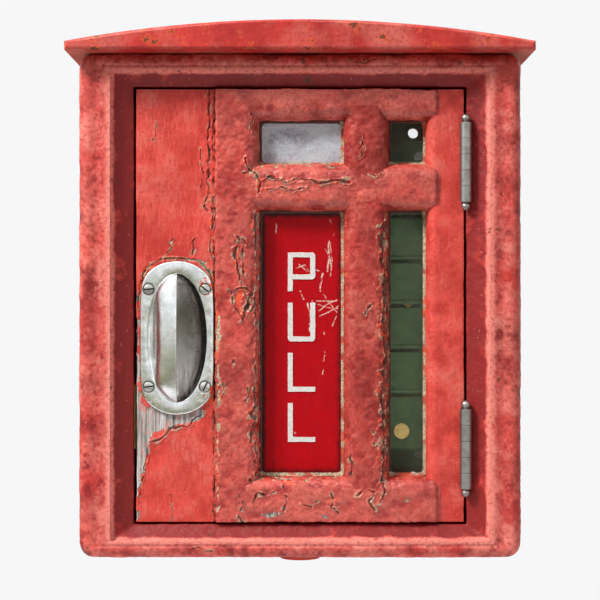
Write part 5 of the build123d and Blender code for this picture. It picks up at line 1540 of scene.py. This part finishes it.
@dataclass(frozen=True)
class Opening:
    """One of the door's openings, between its bars and rails."""

    x: Point
    z: Point
    sill: float

    @classmethod
    def between(cls, left: str, right: str, below: str, above: str) -> "Opening":
        """Reads an opening from the nodes around it."""
        low, high = Room.of(below), Room.of(above)
        return cls((Room.of(left).x[1], Room.of(right).x[0]), (low.z[1], high.z[0]), SILL_DEPTH)

    @classmethod
    def pull(cls) -> "Opening":
        """The opening of the pull plate."""
        return cls.between("left_glazing_bar", "middle_glazing_bar", "bottom_rail", "cross_rail")

    @classmethod
    def all(cls) -> dict[str, "Opening"]:
        """All four openings by name."""
        bars = (("left", "left_glazing_bar", "middle_glazing_bar"),
                ("right", "middle_glazing_bar", "hinge_stile"))
        rails = (("lower", "bottom_rail", "cross_rail"), ("upper", "cross_rail", "top_rail"))
        return {
            f"{row}_{side}": cls.between(a, b, low, high) for side, a, b in bars for row, low, high in rails
        }


@dataclass
class PuttyLines(Assembly):
    """The fillet of putty and thick paint in the corner between each pane and its bars."""

    finishes: Finishes
    body = "door"
    width: float = 2.5
    pitch: float = 0.9

    def build(self) -> None:
        """Carries a hollow triangle round each opening: up the bar's side and out over the pane."""
        for name, opening in Opening.all().items():
            half_x = (opening.x[1] - opening.x[0]) / 2
            half_z = (opening.z[1] - opening.z[0]) / 2
            centre = ((opening.x[0] + opening.x[1]) / 2, (opening.z[0] + opening.z[1]) / 2)
            rows = []
            for t in np.linspace(0, 1, 7):
                inset = self.width * t**1.4
                rows.append((half_x + 0.3 - inset, half_z + 0.3 - inset, 3.2,
                             opening.sill + 2.6 * (1 - t) ** 1.4))
            rows.append((half_x + 0.3 - self.width, half_z + 0.3 - self.width, 3.2, opening.sill - 0.1))
            rows.append((half_x + 0.4, half_z + 0.4, 3.2, opening.sill - 0.1))
            skin = Loop(self.pitch, 7).skin(rows, centre)
            skin.close_rows = True
            x, depth, z = skin.parts
            places = np.stack([x, depth, z], -1).reshape(-1, 3)
            bumps = 0.35 * cloud(places, 3.0, 3, 71).reshape(x.shape)
            skin = skin.raised(bumps * ease(depth, opening.sill, opening.sill + 0.8))
            piece = skin.build(f"putty_{name}")
            # The right and bottom of each fillet count as lit; cream and undercoat show only there.
            lit = np.maximum(x - centre[0] - half_x, centre[1] - half_z - z) > -3.0
            cream = np.where(lit, ease(cloud(places, 7.0, 3, 73).reshape(x.shape), -0.6, -0.1), 0.0)
            # Painted shadow: the top and left of each fillet are made almost black through the crack mask.
            dirt = np.where(lit, 0.08, 0.97)
            under = ease(cloud(places, 5.0, 3, 79).reshape(x.shape), 0.1, 0.3) * np.where(lit, 1.0, 0.2)
            zero = np.zeros_like(x)
            dress_attributes(piece, {"cream": cream, "under": under, "crack": dirt, "bare": zero,
                                     "tone": zero + 0.3})
            self.place(piece, self.finishes.putty, "red_paint_timber")


# --- flush pull -----------------------------------------------------------------------------
@dataclass
class FlushPull(Assembly):
    """The worn steel pull: a pillowed plate, an oval cup in it, and a bright hood over its left half."""

    finishes: Finishes
    body = "door"
    around: int = 420
    plate_straight: float = 44.0
    skin_thick: float = 1.8
    squareness: float = 2.4
    crease_x: float = 17.0
    screw_at: Point = (22.7, 39.2)
    screw_r: float = 4.1
    screw_hole: Point = (4.25, 4.9)
    slot_turns: tuple[float, ...] = (4.0, -38.0, 8.0, 62.0)

    def __post_init__(self) -> None:
        """Reads the pull's place from its nodes."""
        plate, cup = Room.of("flush_pull"), Room.of("finger_cup")
        self.centre = plate.middle
        self.half_w, self.half_h = (plate.x[1] - plate.x[0]) / 2, (plate.z[1] - plate.z[0]) / 2
        self.cup_x, self.cup_z = (cup.x[1] - cup.x[0]) / 2 - 1.6, (cup.z[1] - cup.z[0]) / 2 - 1.6
        self.face = cup.depth[1]
        self.cup_deep = cup.depth[1] - cup.depth[0] - 1.6
        self.rise = plate.depth[1] - self.face
        self.thick = 2.6

    def outline(self, angle: Array) -> tuple[Array, Array]:
        """The plate's outline: the nearer of its straight side and its end arc, blended at the corners.

        The outline is measured along the same direction as the cup's oval at each angle. The blend is the
        sum of both distances raised to a power, so that the corner is round.
        """
        dx, dz = self.cup_x * np.cos(angle), self.cup_z * np.sin(angle)
        length = np.hypot(dx, dz)
        dx, dz = dx / length, dz / length
        side = self.half_w / np.maximum(np.abs(dx), 1e-6)
        bulge = self.half_h - self.plate_straight
        radius = (self.half_w**2 + bulge**2) / (2 * bulge)
        middle = self.half_h - radius
        toward = np.abs(dz) * middle
        end = toward + np.sqrt(toward**2 - middle**2 + radius**2)
        end = end + self.half_h * (1 - ease(side * np.abs(dz), 0.2 * self.plate_straight,
                                            0.7 * self.plate_straight))
        power = 16.0
        reach = (side**-power + end**-power) ** (-1 / power)
        return dx * reach, dz * reach

    def build(self) -> None:
        """Makes the plate, the cup and the hood."""
        angle = np.linspace(0, 2 * math.pi, self.around, endpoint=False)
        self.plate(angle)
        self.cup(angle)
        self.hood()
        self.screws()

    def plate(self, angle: Array) -> None:
        """A ring from the oval's lip to the outline, pillowed between them and rounded at both edges."""
        angle = angle[::-1]
        out_x, out_z = self.outline(angle)
        in_x, in_z = self.cup_x * np.cos(angle), self.cup_z * np.sin(angle)
        top = self.face + self.thick
        spans = [(0.0, self.face + 0.05), (0.0, top - 0.9), (0.012, top - 0.35), (0.035, top - 0.08)]
        for t in np.linspace(0.07, 0.90, 26):
            spans.append((t, top + 0.45 * math.sin(math.pi * t) ** 0.8 - 0.12))
        for c, s in zip(*arc(80, 0, 9)):
            spans.append((0.90 + 0.10 * c, top - 1.3 + 1.3 * s))
        spans += [(1.0, self.face + 0.05)]
        t = np.array([span[0] for span in spans])[:, None]
        depth = np.array([span[1] for span in spans])[:, None]
        x = self.centre[0] + in_x + (out_x - in_x) * t
        z = self.centre[1] + in_z + (out_z - in_z) * t
        places = np.stack(np.broadcast_arrays(x, depth * 1.0, z), -1).reshape(-1, 3)
        dents = 0.10 * cloud(places, 11.0, 2, 83).reshape(x.shape)
        dents = dents + 0.03 * cloud(places, 3.0, 2, 89).reshape(x.shape)
        depth = depth + dents * ease(depth * np.ones_like(x), top - 1.0, top - 0.2)
        for sx in (-1, 1):
            for sz in (-1, 1):
                near = np.hypot(
                    x - self.centre[0] - sx * self.screw_at[0], z - self.centre[1] - sz * self.screw_at[1]
                )
                depth = depth - 1.2 * (1 - ease(near, *self.screw_hole)) * (depth > self.face + 1)
        skin = Skin.of(x, depth, z)
        skin.close_rows = True
        piece = skin.build("flush_pull_plate", 35.0)
        spread = np.broadcast_to(t, x.shape)
        # Darker in a thin ring round each screw's dish and over the plate's rolled outer rim, with dirt in
        # patches near the rim.
        ring = np.exp(-(((np.minimum.reduce([
            np.hypot(x - self.centre[0] - sx * self.screw_at[0], z - self.centre[1] - sz * self.screw_at[1])
            for sx in (-1, 1) for sz in (-1, 1)]) - self.screw_hole[1]) / 0.5) ** 2))
        soiled = ease(cloud(places, 2.4, 3, 101).reshape(x.shape), 0.1, 0.5)
        rim = ease(spread, 0.93, 1.0) * ease(np.broadcast_to(-depth, x.shape), -top + 0.9, -top + 2.0)
        paint_attribute(piece, "darkening", np.clip(0.9 * ring + 0.35 * soiled * (spread > 0.8) + rim, 0, 1))
        flecks = ease(cloud(places, 2.0, 3, 103).reshape(x.shape), 0.12, 0.2)
        right = np.exp(-(((x - self.centre[0] - 24) / 6) ** 2) - ((np.abs(z - self.centre[1]) - 42) / 8) ** 2)
        paint_attribute(piece, "flecks", flecks * ease(right, 0.25, 0.6))
        self.place(piece, self.finishes.steel, "worn_steel", "flush_pull")

    def cup(self, angle: Array) -> None:
        """A bowl: depth falls as the inverse power of an oval's radius, steep at the rim and flat below."""
        rim_rows = 1 - 0.5 * np.linspace(0, 1, 40) ** 2.0
        share = np.concatenate([rim_rows, np.linspace(0.5, 0.012, 30)[1:]])[:, None]
        sunk = self.cup_deep * (1 - share**self.squareness) ** (1 / self.squareness)
        sunk = np.maximum(sunk, 0.0)
        inner = Skin.of(
            self.centre[0] + self.cup_x * share * np.cos(angle),
            self.face + 0.1 - sunk,
            self.centre[1] + self.cup_z * share * np.sin(angle),
        )
        piece = inner.build("finger_cup_bowl", 60.0, cap_last=True)
        x, _, z = inner.parts
        stretched = np.stack([x, z * 0.12, x * 0], -1).reshape(-1, 3)
        streaks = 0.75 + 0.5 * cloud(stretched, 1.6, 3, 107).reshape(x.shape)
        # A painted highlight low in the cup, also standing for finger polish: a pale patch in streaks.
        worn = np.exp(-(((x - self.centre[0] - 7.0) / 8.5) ** 2) - ((z - self.centre[1] + 34.0) / 17.0) ** 2)
        paint_attribute(piece, "polish_and_highlight", np.clip(worn * streaks, 0, 1))
        wall = piece.modifiers.new("wall", "SOLIDIFY")
        wall.thickness = 1.2 * MM
        wall.offset = -1.0
        self.place(piece, self.finishes.cup_steel, "cup_steel", "finger_cup")

    def screws(self) -> None:
        """Slotted raised heads: a low dome of an even curve, with a straight slot cut square across it."""
        share = np.linspace(1.0, 0.02, 34)[:, None]
        angle = np.linspace(0, 2 * math.pi, 112, endpoint=False)[None, :]
        top = self.face + 3.35
        places = [(sx * self.screw_at[0], sz * self.screw_at[1]) for sz in (1, -1) for sx in (-1, 1)]
        for number, ((x, z), turn) in enumerate(zip(places, self.slot_turns)):
            side_x, side_z = self.screw_r * share * np.cos(angle), self.screw_r * share * np.sin(angle)
            tilt = math.radians(turn)
            off = np.abs(side_z * math.cos(tilt) - side_x * math.sin(tilt))
            slot = 1 - ease(off, 0.42, 0.62)
            depth = top - 0.75 * share**2.4 - 1.05 * slot
            depth = np.concatenate([np.full((1, 112), self.face + 0.8), depth])
            ring_x = np.concatenate([side_x[:1], side_x]) + x + self.centre[0]
            ring_z = np.concatenate([side_z[:1], side_z]) + z + self.centre[1]
            piece = Skin.of(ring_x, depth, ring_z).build(f"pull_screw_{number + 1}", 35.0, cap_first=True,
                                                         cap_last=True)
            # The slot, the edge of each head and its foot are darkened.
            rim = np.broadcast_to(ease(share, 0.90, 1.0), slot.shape)
            darkening = np.maximum(slot, rim)
            paint_attribute(piece, "darkening", np.concatenate([np.ones((1, 112)), darkening]))
            self.place(piece, self.finishes.screw_steel, "screw_steel",
                       *(("pull_screws",) if number == 0 else ()))

    def hood(self) -> None:
        """A curved bridge over the left half: a shallow valley at the rim, a crease, then a quarter oval.

        With s from the rim to the middle line, the top is a dip of a sine up to an upright crease, and past
        it a parabola that is level at the middle line. The rise follows the cup's oval up and down, so the
        hood meets the plate at both ends.
        """
        rows, columns = 170, 60
        lift = np.linspace(-0.4963, 0.4963, rows)[:, None] * math.pi
        s = np.linspace(0, 1, columns)[None, :]
        width = np.cos(lift)
        share = 1 - self.crease_x / (self.cup_x * width)
        crease = (share + np.hypot(share, 0.09)) / 2
        past = np.clip((s - crease) / (1 - crease), 0, 1)
        swell = past * (2 - past)
        valley = np.sin(math.pi * np.clip(s / crease, 0, 1)) ** 1.2
        x = self.centre[0] - (self.cup_x + 0.9) * width * (1 - s) ** 0.94
        z = self.centre[1] + (self.cup_z + 0.2) * np.sin(lift) * np.ones_like(s)
        rise = (self.rise - self.thick) * width**0.9
        top = self.face + self.thick + 0.22 + rise * swell - 1.9 * valley * ease(crease, 0.03, 0.28)
        places = np.stack([x, top, z], -1).reshape(-1, 3)
        top = top + 0.10 * cloud(places, 12.0, 2, 97).reshape(x.shape)
        thick = np.minimum(self.skin_thick, 0.25 + self.skin_thick * width * 1.6)
        under = np.maximum(top - thick * 1.15, self.face + 0.3)
        edge = np.linspace(0, math.pi, 6)[1:-1][None, :]
        lip_x = x[:, -1:] + 0.5 * np.sin(edge) * thick / self.skin_thick
        lip = (top[:, -1:] + under[:, -1:]) / 2 + (top[:, -1:] - under[:, -1:]) / 2 * np.cos(edge)
        ring_x = np.concatenate([x, lip_x, x[:, ::-1] + 0.15], 1)
        ring_depth = np.concatenate([top, lip, under[:, ::-1]], 1)
        ring_z = np.concatenate([z, np.repeat(z[:, -1:], edge.shape[1], 1), z[:, ::-1]], 1)
        skin = Skin.of(ring_x, ring_depth, ring_z)
        piece = skin.build("flush_pull_hood", 50.0, cap_first=True, cap_last=True)
        self.place(piece, self.finishes.steel, "worn_steel", "flush_pull")


# --- the works and the rest ------------------------------------------------------------------
class Dressing:
    """Gives every CAD node that keeps its shape its finish."""

    def __init__(self, finishes: Finishes) -> None:
        """Lists which finish each node wears."""
        f = finishes
        self.by_slot = {
            "red_paint_iron": f.iron_paint, "red_paint_timber": f.timber_paint, "dark_red_plate": f.plate,
            "letter_paint": f.letters, "worn_steel": f.steel, "cup_steel": f.cup_steel,
            "screw_steel": f.screw_steel, "dark_steel": f.dark_steel, "opal_glass": f.opal_glass,
            "clear_glass": f.clear_glass, "felt": f.felt, "green_enamel": f.green, "brass": f.brass,
            "moulded_black": f.black, "porcelain": f.porcelain, "bell_metal": f.bell,
            "spring_steel": f.spring_steel, "pale_timber": f.bead_timber,
        }
        self.by_node = {"back_box": f.casing_paint, "hood": f.casing_paint, "hood_bolts": f.casing_paint}

    def build(self, frame: dict) -> None:
        """Puts each node's finish in its material slots, by the slot that the record names for it."""
        slots = {entry["node"]: entry["material_slot"] for entry in frame["record"]["subparts"]}
        for name, node in frame["nodes"].items():
            finish = self.by_node.get(name, self.by_slot[slots[name]])
            node.data.materials.clear()
            node.data.materials.append(finish)
            LOG.info("%s wears %s", name, finish.name)


@dataclass
class Studio:
    """A pale floor, soft light from the upper left, and a camera straight in front."""

    floor_z: float = -0.45
    distance: float = 1.48
    lens: float = 100.0
    aim: tuple[float, float, float] = (0.0, 0.0, 0.0045)
    ambient: float = 0.34
    shine: float = 1.35
    hedge: float = 0.10

    def build(self) -> None:
        """Sets up the floor, the lights, the surroundings and the camera."""
        self.floor()
        self.lights()
        self.surroundings()
        self.camera()

    def floor(self) -> None:
        """A wide disc: rings of points, closed at the middle."""
        angle = np.linspace(0, 2 * math.pi, 96, endpoint=False)
        radius = np.array([1.0, 0.8, 0.55, 0.3, 0.02])[:, None]
        points = np.stack(
            [radius * np.cos(angle), radius * np.sin(angle), np.full((5, 96), self.floor_z)], -1
        ).reshape(-1, 3)
        quads = quads_of_grid(5, 96, False, True)
        disc = new_mesh("floor", points, quads, (np.arange(96) + 4 * 96,))
        n = Nodes("pale_floor")
        n.set("Base Color", n.mix(n.levels(n.noise(60, 3), 0.3, 0.7), (0.80, 0.80, 0.81), (0.77, 0.77, 0.78)))
        n.set("Roughness", n.levels(n.noise(20, 3), 0.3, 0.7, 0.7, 0.8))
        disc.data.materials.append(n.material)

    def lights(self) -> None:
        """A broad key from the upper left, a weak fill from the right, a soft one from above and one from
        behind.
        """
        for name, place, size, power, colour in (
            ("key", (-1.25, -1.00, 1.45), 0.50, 60.0, (1.0, 0.985, 0.96)),
            ("fill", (1.0, -1.9, 0.1), 1.6, 3.5, (0.95, 0.97, 1.0)),
            ("top", (0.1, -0.5, 1.6), 0.9, 5.0, (1.0, 1.0, 1.0)),
            ("back", (0.6, 1.6, 0.9), 1.5, 22.0, (1.0, 1.0, 1.0)),
        ):
            data = bpy.data.lights.new(name, "AREA")
            data.shape, data.size, data.energy, data.color = "SQUARE", size, power, colour
            light = bpy.data.objects.new(name, data)
            light.location = place
            look = Vector(self.aim) - light.location
            light.rotation_euler = look.to_track_quat("-Z", "Y").to_euler()
            bpy.context.scene.collection.objects.link(light)

    def surroundings(self) -> None:
        """Near-white behind the object, and a soft sky-to-ground gradient in reflections."""
        world = bpy.data.worlds.new("studio")
        bpy.context.scene.world = world
        world.use_nodes = True
        tree = world.node_tree
        tree.nodes.clear()
        output = tree.nodes.new("ShaderNodeOutputWorld")
        seen, lit = tree.nodes.new("ShaderNodeBackground"), tree.nodes.new("ShaderNodeBackground")
        mix = tree.nodes.new("ShaderNodeMixShader")
        path = tree.nodes.new("ShaderNodeLightPath")
        seen.inputs["Color"].default_value = (0.93, 0.93, 0.94, 1.0)
        shine = tree.nodes.new("ShaderNodeMath")
        shine.operation = "MULTIPLY_ADD"
        tree.links.new(path.outputs["Is Glossy Ray"], shine.inputs[0])
        shine.inputs[1].default_value = self.shine - self.ambient
        shine.inputs[2].default_value = self.ambient
        tree.links.new(shine.outputs[0], lit.inputs["Strength"])
        place = tree.nodes.new("ShaderNodeTexCoord")
        split = tree.nodes.new("ShaderNodeSeparateXYZ")
        ramp = tree.nodes.new("ShaderNodeValToRGB")
        lift = tree.nodes.new("ShaderNodeMapRange")
        lift.inputs["From Min"].default_value = -1.0 + self.hedge / 2
        lift.inputs["From Max"].default_value = 1.0 + self.hedge / 2
        tree.links.new(place.outputs["Generated"], split.inputs[0])
        leaves, sway = tree.nodes.new("ShaderNodeTexNoise"), tree.nodes.new("ShaderNodeMath")
        leaves.inputs["Scale"].default_value, leaves.inputs["Detail"].default_value = 5.0, 4.0
        sway.operation = "MULTIPLY_ADD"
        tree.links.new(place.outputs["Generated"], leaves.inputs["Vector"])
        tree.links.new(leaves.outputs["Fac"], sway.inputs[0])
        sway.inputs[1].default_value = self.hedge
        tree.links.new(split.outputs["Z"], sway.inputs[2])
        tree.links.new(sway.outputs[0], lift.inputs["Value"])
        tree.links.new(lift.outputs[0], ramp.inputs[0])
        stops = (
            (0.0, (0.05, 0.045, 0.03)), (0.36, (0.16, 0.16, 0.08)), (0.445, (0.32, 0.32, 0.20)),
            (0.475, (0.62, 0.60, 0.51)), (0.51, (0.72, 0.72, 0.72)), (0.56, (0.90, 0.91, 0.92)),
            (1.0, (1.0, 1.0, 1.0)),
        )
        while len(ramp.color_ramp.elements) < len(stops):
            ramp.color_ramp.elements.new(0.5)
        for element, (at, colour) in zip(ramp.color_ramp.elements, stops):
            element.position = at
            element.color = (*colour, 1.0)
        tree.links.new(ramp.outputs[0], lit.inputs["Color"])
        tree.links.new(path.outputs["Is Camera Ray"], mix.inputs[0])
        tree.links.new(lit.outputs[0], mix.inputs[1])
        tree.links.new(seen.outputs[0], mix.inputs[2])
        tree.links.new(mix.outputs[0], output.inputs["Surface"])
        bpy.context.scene.view_settings.view_transform = "Standard"

    def camera(self) -> None:
        """A long lens, level and square to the wall."""
        data = bpy.data.cameras.new("camera")
        data.lens = self.lens
        camera = bpy.data.objects.new("camera", data)
        camera.location = (self.aim[0], -self.distance, self.aim[2])
        camera.rotation_euler = (math.pi / 2, 0.0, 0.0)
        bpy.context.scene.collection.objects.link(camera)
        bpy.context.scene.camera = camera


def main() -> None:
    """Builds the looks in order."""
    logging.basicConfig(level=logging.INFO, format="%(message)s")
    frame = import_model()
    finishes = Finishes()
    Dressing(finishes).build(frame)
    knuckles = Knuckles(x=133.0, depth=143.0, heights=(-115.0, 115.0))
    TimberDoor(finishes).build(knuckles)
    IronFrame(finishes).build(knuckles)
    PullPlate(finishes).build()
    PlateLetters(finishes).build()
    PuttyLines(finishes).build()
    FlushPull(finishes).build()
    Studio().build()


if __name__ == "__main__":
    main()
